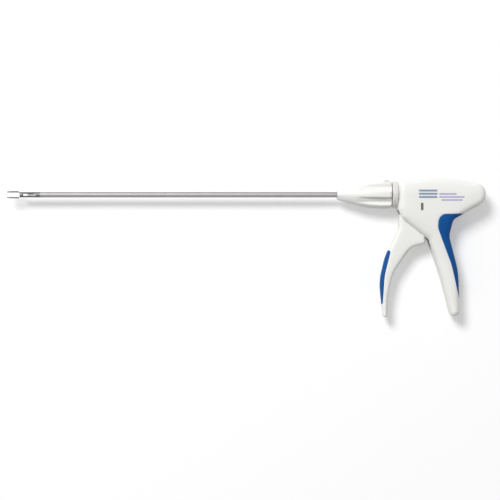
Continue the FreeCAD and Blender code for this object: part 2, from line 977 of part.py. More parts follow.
def closure_coupler():
    """Slotted tail, T-slot block for the rod's head, and a stem that runs in the guide."""
    body = new_body("closure_coupler")
    lean = S.swing / 2
    pin_x = S.pivot_x + lean.sine() * S.closure_arm
    pin_low = S.pivot_y + lean.cosine() * S.closure_arm
    pin_high = S.pivot_y + S.closure_arm
    half = S.closure_pin_radius + S.slot_play
    tail = sketch_on(body, "XY_Plane")
    bottom = pin_low - S.closure_pin_radius - 1.5
    top = pin_high + S.closure_pin_radius + 2.2
    loop(
        tail,
        [
            (pin_x - 4.0, bottom, 1.0),
            (pin_x + 4.2, bottom, 2.0),
            (S.block_rear, -S.block_half + 0.4, 0.0),
            (S.block_front, -S.block_half + 0.4, 0.0),
            (pin_x + 1.0, top, 1.0),
            (pin_x - 4.0, top, 1.0),
        ],
    )
    pad(body, tail, S.tail_half * 2, both=True)
    block = sketch_on(body, "XY_Plane")
    rectangle(block, S.block_front, -S.block_half, S.block_rear, S.block_half, 0.6)
    pad(body, block, S.block_half * 2, both=True)
    ring(body, S.block_rear - 1.0, S.stem_rear, S.stem_radius)
    slot = sketch_on(body, "XY_Plane")
    rectangle(
        slot,
        pin_x - half,
        pin_low - S.closure_pin_radius - 0.5,
        pin_x + half,
        pin_high + S.closure_pin_radius + 0.6,
        half * 0.98,
    )
    pocket(body, slot, both=True)
    head = S.rod_head_front
    gap = S.swivel_play
    for front, rear, reach in (
        (S.block_front - 1.0, head, S.rod_radius + gap),
        (head - gap, head + S.rod_head_thickness + gap, S.rod_head_radius + gap),
    ):
        room = sketch_on(body, "XY_Plane")
        rectangle(room, front, -reach, rear, S.block_half + 1.0)
        pocket(body, room, reach * 2, both=True)


def feed_coupler():
    """Two slotted cheeks joined over the top, with a yoke that holds the feed collar."""
    body = new_body("feed_coupler")
    lean = S.swing / 2
    pin_x = S.pivot_x + lean.sine() * S.feed_arm
    pin_low = S.pivot_y + lean.cosine() * S.feed_arm
    pin_high = S.pivot_y + S.feed_arm
    outer = S.cheek_inner + S.cheek_thickness
    bridge = sketch_on(body, "XY_Plane")
    rectangle(
        bridge, S.yoke_front, S.bridge_low, pin_x + S.cheek_half, S.bridge_high, 0.8
    )
    pad(body, bridge, outer * 2, both=True)
    yoke = sketch_on(body, "XY_Plane")
    rectangle(yoke, S.yoke_front, -S.yoke_half, S.yoke_rear, S.bridge_low + 0.5)
    pad(body, yoke, S.yoke_half * 2, both=True)
    half = S.feed_pin_radius + S.slot_play
    for side in (1, -1):
        cheek = sketch_on(body, "XY_Plane", S.cheek_inner * side)
        left, right = pin_x - S.cheek_half, pin_x + S.cheek_half
        rectangle(cheek, left, S.cheek_bottom, right, S.bridge_high - 0.5, 1.0)
        rectangle(
            cheek,
            pin_x - half,
            pin_low - S.feed_pin_radius - 0.7,
            pin_x + half,
            pin_high + S.feed_pin_radius + 0.7,
            half * 0.98,
        )
        pad(body, cheek, S.cheek_thickness, back=side < 0)
    gap = S.swivel_play
    for front, rear, reach in (
        (S.yoke_front - 1.0, S.yoke_rear + 1.0, S.feed_tube_radius + gap),
        (
            S.collar_front - gap,
            S.collar_front + S.collar_thickness + gap,
            S.collar_radius + gap,
        ),
    ):
        room = sketch_on(body, "XY_Plane")
        rectangle(room, front, -S.yoke_half - 1.0, rear, reach)
        pocket(body, room, reach * 2, both=True)


def feed_parts():
    """Feed bar on its tube, and the collar that the yoke holds."""
    body = new_body("feed_bar")
    rear = S.collar_front + S.collar_thickness
    ring(body, S.feed_tube_front, rear, S.feed_tube_radius, S.feed_tube_bore)
    bar(body, S.feed_front, S.feed_tube_front + 4.0, S.feed_half, S.feed_low, S.feed_high)
    collar = new_body("feed_collar")
    bore = S.feed_tube_radius + S.seat_gap
    ring(collar, S.collar_front, rear, S.collar_radius, bore)


def closure_parts():
    """Strip and rod in one piece, the rod's head, and the cam that closes the jaws."""
    body = new_body("closure_rod")
    ring(body, S.rod_front, S.rod_head_front, S.rod_radius)
    bar(
        body,
        S.cam_front + S.cam_length,
        S.rod_front + S.rod_lap,
        S.strip_half,
        S.strip_low,
        S.strip_high,
    )
    head = new_body("rod_head")
    rear = S.rod_head_front + S.rod_head_thickness
    ring(head, S.rod_head_front, rear, S.rod_head_radius)
    cam = new_body("closure_cam")
    rear = S.cam_front + S.cam_length
    ring(cam, S.cam_front, rear, S.cam_radius)
    inside = sketch_on(cam, "YZ_Plane")
    rectangle(inside, -S.cam_opening, S.cam_low, S.cam_opening, S.cam_radius + 1.0)
    pocket(cam, inside, both=True)
    above = sketch_on(cam, "YZ_Plane")
    wide = S.cam_radius + 1.0
    rectangle(above, -wide, S.leg_high, wide, wide)
    pocket(cam, above, both=True)


def shaft_parts():
    tube = new_body("outer_tube")
    wall = sketch_on(tube, "XY_Plane")
    loop(
        wall,
        [
            (S.tube_front, S.tube_bore, 0.0),
            (S.tube_front, S.tube_radius, 0.0),
            (S.tube_step, S.tube_radius, 0.0),
            (S.tube_step, S.tube_seat_radius, 0.0),
            (S.tube_rear, S.tube_seat_radius, 0.0),
            (S.tube_rear, S.tube_bore, 0.0),
        ],
    )
    turned(tube, wall)
    sleeve = new_body("distal_sleeve")
    taper = sketch_on(sleeve, "XY_Plane")
    loop(
        taper,
        [
            (S.tube_front, S.tube_bore, 0.0),
            (S.tube_front, S.tube_radius, 0.0),
            (S.sleeve_front, S.sleeve_front_radius, 0.0),
            (S.sleeve_front, S.tube_bore, 0.0),
        ],
    )
    turned(sleeve, taper)
    window = sketch_on(sleeve, "XY_Plane")
    rectangle(
        window,
        S.window_front,
        -S.window_half,
        S.window_rear,
        S.window_half,
        S.window_half * 0.9,
    )
    pocket(sleeve, window, both=True)
    track = new_body("clip_track")
    bar(
        track,
        S.retainer_rear + 0.5,
        S.track_rear,
        S.track_half,
        S.track_low,
        S.track_high,
    )
    retainer = new_body("jaw_retainer")
    bar(
        retainer,
        S.retainer_front,
        S.retainer_rear,
        S.retainer_half,
        S.retainer_low,
        S.retainer_high,
    )
    floor = S.leg_low - S.running_gap
    depth = S.retainer_high - floor
    for side in (1, -1):
        socket = sketch_on(retainer, "XY_Plane", S.retainer_high)
        y = S.jaw_root_offset * side
        circle(socket, S.jaw_root, y, S.leg_radius + S.running_gap)
        pocket(retainer, socket, depth)
        way = sketch_on(retainer, "XY_Plane", S.retainer_high)
        near, far = S.leg_inner * side * 0.6, (S.retainer_half + 1.0) * side
        rectangle(
            way,
            S.retainer_front - 1.0,
            min_of(near, far),
            S.jaw_root - S.leg_radius * 0.5,
            max_of(near, far),
        )
        pocket(retainer, way, depth)
    seal = new_body("nose_seal")
    nose = knob_nose()
    bore = S.tube_seat_radius + S.seat_gap
    ring(seal, nose + S.seal_inset, nose + S.seal_length, S.seal_radius, bore)


def jaw(label, side):
    """A spring leg that ends in a grooved finger; side is 1 for the upper jaw."""
    body = new_body(label)

    def mirrored(points):
        return [(x, y * side, radius) for x, y, radius in points]

    root = sketch_on(body, "XY_Plane", S.leg_low)
    circle(root, S.jaw_root, S.jaw_root_offset * side, S.leg_radius)
    pad(body, root, S.leg_high - S.leg_low)
    leg = sketch_on(body, "XY_Plane", S.leg_low)
    shoulder = S.jaw_shoulder
    loop(
        leg,
        mirrored(
            [
                (S.jaw_root, S.leg_inner, 0.0),
                (S.jaw_root, S.leg_outer - 0.1, 0.0),
                (S.leg_flare, S.leg_outer, 10.0),
                (shoulder + 0.4, S.leg_outer + 0.45, 2.0),
                (shoulder - 1.6, S.jaw_gap + 1.0, 0.0),
                (shoulder - 1.6, S.jaw_gap + 0.2, 0.0),
                (shoulder + 1.4, S.leg_inner + 0.4, 2.0),
                (S.leg_flare, S.leg_inner, 10.0),
            ]
        ),
    )
    pad(body, leg, S.leg_high - S.leg_low)
    finger = sketch_on(body, "XY_Plane")
    outer = S.jaw_gap + S.jaw_thickness
    loop(
        finger,
        mirrored(
            [
                (S.jaw_tip, S.jaw_gap, 0.4),
                (shoulder - 1.0, S.jaw_gap, 0.4),
                (shoulder, outer - 0.8, 0.3),
                (shoulder - 0.8, outer, 0.5),
                (S.jaw_tip + 4.0, outer, 12.0),
                (S.jaw_tip, outer - 0.5, 0.4),
            ]
        ),
    )
    pad(body, finger, S.jaw_half_width * 2, both=True)
    groove = sketch_on(body, "XY_Plane")
    near, far = (S.jaw_gap - 0.5) * side, (S.jaw_gap + 0.5) * side
    rectangle(
        groove,
        S.jaw_tip + 1.0,
        min_of(near, far),
        shoulder + 1.0,
        max_of(near, far),
    )
    pocket(body, groove, S.clip_high - S.clip_low + 0.3, both=True)


def clip_parts():
    """The stack of open clips and the shoe that follows it."""
    body = new_body("clips")
    body.AllowCompound = True
    made = sketch_on(body, "XY_Plane", S.clip_low)
    front, half, wire = S.stack_front, S.clip_half, S.clip_wire
    rear = front + S.clip_length
    loop(
        made,
        [
            (front, -half, 0.0),
            (rear - wire, -wire, 0.0),
            (rear, 0.0, 0.0),
            (rear - wire, wire, 0.0),
            (front, half, 0.0),
            (front, half - wire, 0.0),
            (rear - wire * 2, 0.0, 0.0),
            (front, -half + wire, 0.0),
        ],
    )
    one = pad(body, made, S.clip_high - S.clip_low)
    stack = body.newObject("PartDesign::LinearPattern", "clip_stack")
    stack.Originals = [one]
    stack.Direction = (axis_of(body, "X_Axis"), [""])
    stack.setExpression("Length", text_of(S.clip_pitch * (S.clip_count - 1.0)))
    stack.setExpression("Occurrences", text_of(S.clip_count))
    body.Tip = stack
    shoe = new_body("feeder_shoe")
    after = S.stack_front + S.clip_pitch * S.clip_count
    bar(shoe, after, after + S.shoe_length, S.clip_half, S.clip_low, S.clip_high)


def knob_nose():
    """Where the knob begins: its length in front of the handle's bearing ring."""
    return S.nose_ring_front - S.knob_gap - S.knob_length


def knob_parts():
    """Rotation knob: a turned ogive with flutes cut between its fins, and its spindle."""
    body = new_body("knob")
    made = sketch_on(body, "XY_Plane")
    nose = knob_nose()
    seat = S.seal_radius + S.seat_gap
    tube = S.tube_seat_radius + S.seat_gap
    spindle = S.spindle_radius + S.seat_gap
    clear = S.tube_bore
    rear = nose + S.knob_length
    loop(
        made,
        [
            (nose, S.knob_nose_radius, 0.0),
            (nose, seat, 0.0),
            (nose + S.seal_length, seat, 0.0),
            (nose + S.seal_length, tube, 0.0),
            (S.tube_rear, tube, 0.0),
            (S.tube_rear, clear, 0.0),
            (S.spindle_front, clear, 0.0),
            (S.spindle_front, spindle, 0.0),
            (rear, spindle, 0.0),
            (rear, S.knob_radius - S.knob_bevel, 0.0),
            (rear - S.knob_bevel, S.knob_radius, 0.0),
            (nose + S.knob_length * S.knob_full, S.knob_radius, 0.0),
            (nose + S.knob_length * S.knob_mid, S.knob_radius - S.knob_mid_drop, 0.0),
            (nose + S.fin_front, S.fin_root, 0.0),
        ],
    )
    turned(body, made)
    flute = sketch_on(body, "YZ_Plane", nose + S.fin_front)
    lean = Size(180.0, "180.0") / S.fin_count
    floor = S.knob_core
    out = S.knob_radius * 1.3
    foot = floor * lean.sine() / lean.cosine() - S.fin_half / lean.cosine()
    lip = out * lean.sine() / lean.cosine() - S.fin_half / lean.cosine()
    loop(flute, [(-foot, floor, 0.0), (foot, floor, 0.0), (lip, out, 0.0), (-lip, out, 0.0)])
    cut = pocket(body, flute, S.knob_length - S.fin_front + 1.0, back=True)
    around_axis(body, cut, S.fin_count)
    pip = sketch_on(body, "XY_Plane")
    rectangle(
        pip,
        nose + S.pip_centre - S.pip_half,
        S.knob_radius - 2.0,
        nose + S.pip_centre + S.pip_half,
        S.pip_radius,
    )
    pad(body, pip, S.pip_half_width * 2, both=True)
    spindle_body = new_body("knob_spindle")
    rear = S.nose_top_along + S.wall + 0.4 + S.flange_thickness
    bore = S.tube_radius - 0.2
    ring(spindle_body, S.spindle_front, rear, S.spindle_radius, bore)
    ring(spindle_body, rear - S.flange_thickness, rear, S.flange_radius, bore)


def counter_parts():
    """Clip counter: a wheel on its axle behind a clear window in the right shell."""
    wheel = new_body("counter_wheel")
    made = sketch_on(wheel, "XY_Plane", S.wheel_low)
    circle(made, S.wheel_x, S.wheel_y, S.wheel_radius)
    circle(made, S.wheel_x, S.wheel_y, S.wheel_axle + S.running_gap)
    pad(wheel, made, S.wheel_high - S.wheel_low)
    axle = new_body("counter_axle")
    made = sketch_on(axle, "XY_Plane", S.wheel_low - 0.8)
    circle(made, S.wheel_x, S.wheel_y, S.wheel_axle)
    pad(axle, made, S.deep_cavity - S.wheel_low + 0.75)
    made = sketch_on(axle, "XY_Plane", S.wheel_low - 0.8)
    circle(made, S.wheel_x, S.wheel_y, S.wheel_axle + 0.9)
    pad(axle, made, Size(0.6, "0.6"))
    lens = new_body("counter_window")
    made = sketch_on(lens, "XY_Plane", S.deep_cavity)
    obround(
        made,
        S.window_x,
        S.wheel_y,
        S.window_round - S.seat_gap,
        S.window_reach - S.seat_gap,
    )
    pad(lens, made, S.half_width - S.deep_cavity - 0.2)


def return_spring():
    """A tension spring between the coupler's stem and the rear post, in straight chords."""
    front = S.stem_rear + S.body_gap + S.spring_wire / 2
    rear = S.butt_top_along - S.post_inset - S.post_radius - S.body_gap - S.spring_wire / 2
    sides = 10
    steps = int(number_of(S.spring_turns)) * sides
    points = []
    for step in range(steps + 1):
        angle = 2 * math.pi * step / sides
        along = number_of(front) + number_of(rear - front) * step / steps
        reach = number_of(S.spring_radius)
        points.append(Vector(along, reach * math.sin(angle), -reach * math.cos(angle)))
    path = doc.addObject("Part::Feature", "spring_path")
    path.Shape = Part.makePolygon(points)
    wire = doc.addObject("Part::RegularPolygon", "spring_wire")
    wire.Polygon = 6
    wire.setExpression("Circumradius", text_of(S.spring_wire / 2))
    wire.Placement = FreeCAD.Placement(points[0], FreeCAD.Rotation(Vector(1, 0, 0), 90))
    sweep = doc.addObject("Part::Sweep", "return_spring")
    sweep.Sections = [wire]
    sweep.Spine = (path, [])
    sweep.Solid = True
    sweep.Transition = "Right corner"
    pieces.append(sweep)


pieces = []
housing_half("housing_right", 1)
housing_half("housing_left", -1)
grip_cover("grip_cover_right", 1)
grip_cover("grip_cover_left", -1)
front_bearing()
pin("pivot_pin", S.pivot_x, S.pivot_y, S.pivot_radius, -S.pin_end, S.pin_end)
pin(
    "pawl_pin",
    S.pawl_x,
    S.pawl_y,
    S.pawl_pin_radius,
    -S.pin_end,
    -S.trigger_half + 0.2,
)
trigger_lever()
trigger_facing()
drive_fork()
fork_pins()
ratchet_rack()
ratchet_pawl()
closure_coupler()
feed_coupler()
feed_parts()
closure_parts()
shaft_parts()
jaw("upper_jaw", 1)
jaw("lower_jaw", -1)
clip_parts()
knob_parts()
counter_parts()
return_spring()

doc.recompute()
knob = doc.getObject("knob")
turn = FreeCAD.Rotation(Vector(1, 0, 0), number_of(S.fin_turn))
knob.Placement = FreeCAD.Placement(Vector(), turn)
doc.recompute()

for thing in doc.Objects:
    if "Invalid" in thing.State or "Error" in thing.State:
        raise SystemExit(f"{thing.Name} is {thing.State}: {thing.getStatusString()}")
os.makedirs("parts", exist_ok=True)
facets = 0
for piece in bodies + pieces:
    if piece.Shape.isNull() or not piece.Shape.isValid():
        raise SystemExit(f"{piece.Label} has no valid shape")
    piece.Shape.exportStep(f"parts/{piece.Label}.step")
    count = len(piece.Shape.Solids)
    triangles = len(piece.Shape.copy().tessellate(0.1)[1])
    facets += triangles
    print(f"{piece.Label}: {count} solid(s), {piece.Shape.Volume:.1f} mm3, {triangles}")
print(f"{len(bodies) + len(pieces)} nodes, {facets} triangles")
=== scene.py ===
"""Dresses the clip applier: moulded shells, trigger, knob, shaft, and the studio round it.

Everything is worked out in millimetres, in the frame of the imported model: X along the shaft from
the jaws to the butt, Y out of the handle's top edge, Z away from the surface that it lies on.
"""

import sys

import json
import logging
import math
from dataclasses import dataclass, field
from enum import Enum, IntEnum

import bpy
import numpy as np
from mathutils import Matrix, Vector
from mathutils.geometry import delaunay_2d_cdt

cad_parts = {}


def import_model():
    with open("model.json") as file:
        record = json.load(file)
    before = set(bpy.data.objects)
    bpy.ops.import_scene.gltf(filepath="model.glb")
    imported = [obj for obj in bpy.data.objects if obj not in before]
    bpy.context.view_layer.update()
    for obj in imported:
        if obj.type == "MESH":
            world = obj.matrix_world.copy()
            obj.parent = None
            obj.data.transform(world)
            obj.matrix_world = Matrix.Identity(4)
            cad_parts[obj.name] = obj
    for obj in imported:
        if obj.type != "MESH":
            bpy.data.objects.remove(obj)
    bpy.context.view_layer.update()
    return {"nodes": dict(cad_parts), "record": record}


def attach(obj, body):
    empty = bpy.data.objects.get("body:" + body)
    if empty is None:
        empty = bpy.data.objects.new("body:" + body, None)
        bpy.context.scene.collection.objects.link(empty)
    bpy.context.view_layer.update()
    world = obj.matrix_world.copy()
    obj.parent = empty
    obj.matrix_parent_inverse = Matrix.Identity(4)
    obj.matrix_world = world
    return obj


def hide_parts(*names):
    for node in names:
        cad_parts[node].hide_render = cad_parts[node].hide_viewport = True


Corner = tuple[float, float, float]
Profile = tuple[tuple[float, float], ...]
Colour = tuple[float, float, float]
Shape = tuple[np.ndarray, np.ndarray | list[list[int]]]

MM = 0.001
FULL_TURN = 2 * math.pi
WHITE = (1.0, 1.0, 1.0, 1.0)

TINY = 1e-12
SNAP = 1e-5
LEAST_AREA = 1e-9
SLACK = 0.02
STRETCHES_AT_ONCE = 60
ROUND_END = 0.999
SLOT_STEP = 0.3

PATCHES_PER_METRE = 28.0
PATCH_DETAIL = 2.0
GRAIN_DETAIL = 3.0
NOISE_SPAN = (0.3, 0.7)
LEAST_ROUGHNESS = 0.03
BUMP_STRENGTH = 0.6

log = logging.getLogger("clip_applier")


# Finishes


class Grain(Enum):
    """How the fine texture of a finish lies: even all round, or drawn out along an axis."""

    EVEN = (1.0, 1.0, 1.0)
    ALONG_X = (0.02, 1.0, 1.0)


@dataclass(frozen=True)
class Finish:
    """One procedural material: base colour, gloss, and the texture that breaks both up.

    Args:
        name: name of the material.
        colour: linear base colour.
        roughness: mean roughness.
        metallic: 1 for bare metal.
        grain: the way in which the texture lies.
        grain_size_mm: width of one grain of the fine texture.
        bump_mm: height of the fine texture.
        mottle: share by which the colour varies in broad, soft patches.
        gloss_spread: how far the roughness wanders either side of its mean.
        clear: share of light that passes through.
        specular: strength of the reflection at the surface of a plastic.
    """

    name: str
    colour: Colour
    roughness: float
    metallic: float = 0.0
    grain: Grain = Grain.EVEN
    grain_size_mm: float = 0.4
    bump_mm: float = 0.01
    mottle: float = 0.04
    gloss_spread: float = 0.06
    clear: float = 0.0
    specular: float = 0.5

    def material(self) -> bpy.types.Material:
        """Builds the node tree on Object coordinates.

        Returns:
            The material. Broad noise varies the colour, fine noise the roughness and the bump.
        """
        made = bpy.data.materials.new(self.name)
        made.use_nodes = True
        tree = made.node_tree
        shader = tree.nodes["Principled BSDF"]
        shader.inputs["Metallic"].default_value = self.metallic
        shader.inputs["Transmission Weight"].default_value = self.clear
        shader.inputs["Specular IOR Level"].default_value = self.specular
        place = tree.nodes.new("ShaderNodeTexCoord")
        turn = tree.nodes.new("ShaderNodeMapping")
        turn.inputs["Scale"].default_value = self.grain.value
        tree.links.new(place.outputs["Object"], turn.inputs["Vector"])
        grains = 1.0 / (self.grain_size_mm * MM)
        fine = self._noise(tree, turn.outputs["Vector"], grains, GRAIN_DETAIL)
        broad = self._noise(tree, place.outputs["Object"], PATCHES_PER_METRE, PATCH_DETAIL)
        mix = tree.nodes.new("ShaderNodeMix")
        mix.data_type = "RGBA"
        darker = [c * (1.0 - self.mottle) for c in self.colour]
        lighter = [min(1.0, c * (1.0 + self.mottle)) for c in self.colour]
        mix.inputs["A"].default_value = (*darker, 1.0)
        mix.inputs["B"].default_value = (*lighter, 1.0)
        tree.links.new(broad, mix.inputs["Factor"])
        tree.links.new(mix.outputs["Result"], shader.inputs["Base Color"])
        gloss = tree.nodes.new("ShaderNodeMapRange")
        low = max(LEAST_ROUGHNESS, self.roughness - self.gloss_spread)
        high = min(1.0, self.roughness + self.gloss_spread)
        gloss.inputs["From Min"].default_value, gloss.inputs["From Max"].default_value = NOISE_SPAN
        gloss.inputs["To Min"].default_value, gloss.inputs["To Max"].default_value = low, high
        tree.links.new(fine, gloss.inputs["Value"])
        tree.links.new(gloss.outputs["Result"], shader.inputs["Roughness"])
        bump = tree.nodes.new("ShaderNodeBump")
        bump.inputs["Strength"].default_value = BUMP_STRENGTH
        bump.inputs["Distance"].default_value = self.bump_mm * MM
        tree.links.new(fine, bump.inputs["Height"])
        tree.links.new(bump.outputs["Normal"], shader.inputs["Normal"])
        return made

    @staticmethod
    def _noise(
        tree: bpy.types.NodeTree, where: bpy.types.NodeSocket, scale: float, detail: float
    ) -> bpy.types.NodeSocket:
        """Adds a noise texture.

        Args:
            tree: the material's node tree.
            where: socket that gives the place on the piece.
            scale: grains per metre.
            detail: number of finer layers.

        Returns:
            The texture's factor.
        """
        node = tree.nodes.new("ShaderNodeTexNoise")
        node.inputs["Scale"].default_value = scale
        node.inputs["Detail"].default_value = detail
        tree.links.new(where, node.inputs["Vector"])
        return node.outputs["Fac"]


FINISHES: dict[str, Finish] = {
    "shell": Finish("shell_white", (0.80, 0.797, 0.774), 0.4, grain_size_mm=0.5, mottle=0.012),
    "shell_ring": Finish("ring_grey", (0.65, 0.635, 0.615), 0.45, mottle=0.02),
    "blue_rubber": Finish(
        "grip_blue",
        (0.0, 0.07, 0.27),
        0.6,
        grain_size_mm=0.35,
        bump_mm=0.03,
        mottle=0.1,
        specular=0.2,
    ),
    "grey_plastic": Finish("inner_grey", (0.42, 0.43, 0.44), 0.5),
    "dark_rubber": Finish("seal_black", (0.03, 0.03, 0.035), 0.65, bump_mm=0.02),
    "steel": Finish("machined_steel", (0.45, 0.45, 0.46), 0.3, 1.0, grain_size_mm=0.15),
    "brushed_steel": Finish(
        "drawn_tube", (0.32, 0.31, 0.315), 0.56, 1.0, Grain.ALONG_X, 0.12, 0.006, 0.05, 0.08
    ),
    "dark_steel": Finish(
        "jaw_steel", (0.13, 0.13, 0.135), 0.4, 1.0, Grain.ALONG_X, 0.2, 0.008, 0.08, 0.08
    ),
    "titanium": Finish("clip_metal", (0.5, 0.49, 0.47), 0.34, 1.0, grain_size_mm=0.12),
    "counter_wheel": Finish("wheel_dark", (0.1, 0.105, 0.11), 0.45),
    "window": Finish("clear_window", (0.5, 0.53, 0.56), 0.12, clear=0.8, bump_mm=0.001),
    "ink": Finish("marking_blue", (0.21, 0.28, 0.40), 0.42, mottle=0.1, bump_mm=0.002),
    "pale_ink": Finish("marking_lilac", (0.40, 0.37, 0.58), 0.42, mottle=0.1, bump_mm=0.002),
}


class Paintbox:
    """Makes each material once and hands it out."""

    def __init__(self) -> None:
        """Starts with no material made."""
        self._made: dict[str, bpy.types.Material] = {}

    def get(self, finish: str) -> bpy.types.Material:
        """Gives the material of a finish.

        Args:
            finish: key of FINISHES.

        Returns:
            The one material of that finish.
        """
        if finish not in self._made:
            self._made[finish] = FINISHES[finish].material()
        return self._made[finish]


# Flat geometry


def unit(vectors: np.ndarray) -> np.ndarray:
    """Scales each row to length one."""
    return vectors / np.linalg.norm(vectors, axis=-1, keepdims=True)


def rounded(corners: tuple[Corner, ...], step: float = 0.8, closed: bool = True) -> np.ndarray:
    """Points of an outline whose corners are rounded by arcs that touch both sides.

    The arc's ends lie radius / tan(half angle) from the corner, and its middle on the bisector at
    radius / sin(half angle). Arcs and straight runs are both divided about every step.

    Args:
        corners: x, y and rounding of each corner, anticlockwise where closed.
        step: longest distance between neighbouring points.
        closed: whether the last corner runs back to the first.

    Returns:
        Array of points, one row each.
    """
    places = np.array([c[:2] for c in corners])
    count = len(corners)
    runs: list[np.ndarray] = []
    for i, (_, _, radius) in enumerate(corners):
        here = places[i]
        if radius == 0.0 or (not closed and i in (0, count - 1)):
            runs.append(here[None])
            continue
        back = unit(places[i - 1] - here)
        ahead = unit(places[(i + 1) % count] - here)
        half = math.acos(float(np.clip(back @ ahead, -1, 1))) / 2
        centre = here + unit(back + ahead) * radius / math.sin(half)
        start = here + back * radius / math.tan(half) - centre
        sweep = math.pi - 2 * half
        sense = 1.0 if back[0] * ahead[1] - back[1] * ahead[0] < 0 else -1.0
        angles = np.linspace(0, sense * sweep, max(3, math.ceil(radius * sweep / step) + 1))
        cos, sin = np.cos(angles), np.sin(angles)
        turned = np.stack([start[0] * cos - start[1] * sin, start[0] * sin + start[1] * cos], 1)
        runs.append(centre + turned)
    points: list[np.ndarray] = []
    for i, run in enumerate(runs):
        points.append(run)
        if closed or i < count - 1:
            after = runs[(i + 1) % count][0]
            pieces = max(1, math.ceil(float(np.linalg.norm(after - run[-1])) / step))
            points.append(run[-1] + (after - run[-1]) * np.linspace(0, 1, pieces + 1)[1:-1, None])
    return np.concatenate(points)


def circle(x: float, y: float, radius: float, count: int = 40) -> np.ndarray:
    """Points round a circle, anticlockwise."""
    angles = np.linspace(0, FULL_TURN, count, endpoint=False)
    return np.stack([x + radius * np.cos(angles), y + radius * np.sin(angles)], 1)


def obround(x: float, y: float, radius: float, reach: float) -> np.ndarray:
    """Points round an upright slot with round ends."""
    signs = ((-1, -1), (1, -1), (1, 1), (-1, 1))
    corners = tuple((x + a * radius, y + b * reach, radius * ROUND_END) for a, b in signs)
    return rounded(corners, SLOT_STEP)


def inward(loop: np.ndarray, depth: float) -> np.ndarray:
    """Each point of an anticlockwise loop moved to its left by a depth.

    Args:
        loop: points of the loop.
        depth: distance to move.

    Returns:
        The moved points, also where they cross the loop's other side.
    """
    along = unit(np.roll(loop, -1, 0) - np.roll(loop, 1, 0))
    return loop + depth * np.stack([-along[:, 1], along[:, 0]], 1)


def distance(points: np.ndarray, loop: np.ndarray, closed: bool = True) -> np.ndarray:
    """Distance of each point to the nearest stretch of a line.

    The foot on a stretch is its start plus its direction times the clipped share along it.

    Args:
        points: places to measure from.
        loop: points of the line.
        closed: whether the last point joins the first.

    Returns:
        One distance for each point.
    """
    start = loop if closed else loop[:-1]
    run = (np.roll(loop, -1, 0) if closed else loop[1:]) - start
    nearest = np.full(len(points), np.inf)
    for piece in np.array_split(np.arange(len(start)), max(1, len(start) // STRETCHES_AT_ONCE)):
        gap = points[:, None] - start[piece]
        share = (gap * run[piece]).sum(2) / np.maximum((run[piece] ** 2).sum(1), TINY)
        off = gap - np.clip(share, 0, 1)[..., None] * run[piece]
        nearest = np.minimum(nearest, np.sqrt((off**2).sum(2)).min(1))
    return nearest


def inside(points: np.ndarray, loop: np.ndarray) -> np.ndarray:
    """Whether each point is in a closed loop, by the number of sides that a ray to +X crosses."""
    x, y = points[:, :1], points[:, 1:]
    x0, y0 = loop.T
    x1, y1 = np.roll(loop, -1, 0).T
    spans = (y0 > y) != (y1 > y)
    rise = np.where(np.abs(y1 - y0) < TINY, TINY, y1 - y0)
    return (spans & (x < x0 + (y - y0) * (x1 - x0) / rise)).sum(1) % 2 == 1


def shrunk(loop: np.ndarray, depth: float) -> np.ndarray:
    """A loop drawn a depth inside another: the moved points that are really that far from it."""
    moved = inward(loop, depth)
    kept = (distance(moved, loop) > depth - SLACK) & inside(moved, loop)
    return moved[kept]


def rim_fall(edge: np.ndarray, rim: float) -> np.ndarray:
    """How far a surface has dropped near its silhouette, by a rounded rim.

    Args:
        edge: distance of each point inside the silhouette.
        rim: radius of the rounding.

    Returns:
        rim - sqrt(rim^2 - (rim - edge)^2), and 0 past the rim.
    """
    short = np.clip(rim - edge, 0, rim)
    return rim - np.sqrt(rim**2 - short**2)


def fade(off: np.ndarray, reach: float) -> np.ndarray:
    """(1 - d / reach)^2 of each distance d, and 0 past the reach."""
    return (1 - np.clip(off / reach, 0, 1)) ** 2


class Level(IntEnum):
    """The heights between which a column of a relief stands, lowest first."""

    FLOOR = 0
    STEP = 1
    CEILING = 2
    TOP = 3


GONE = -1


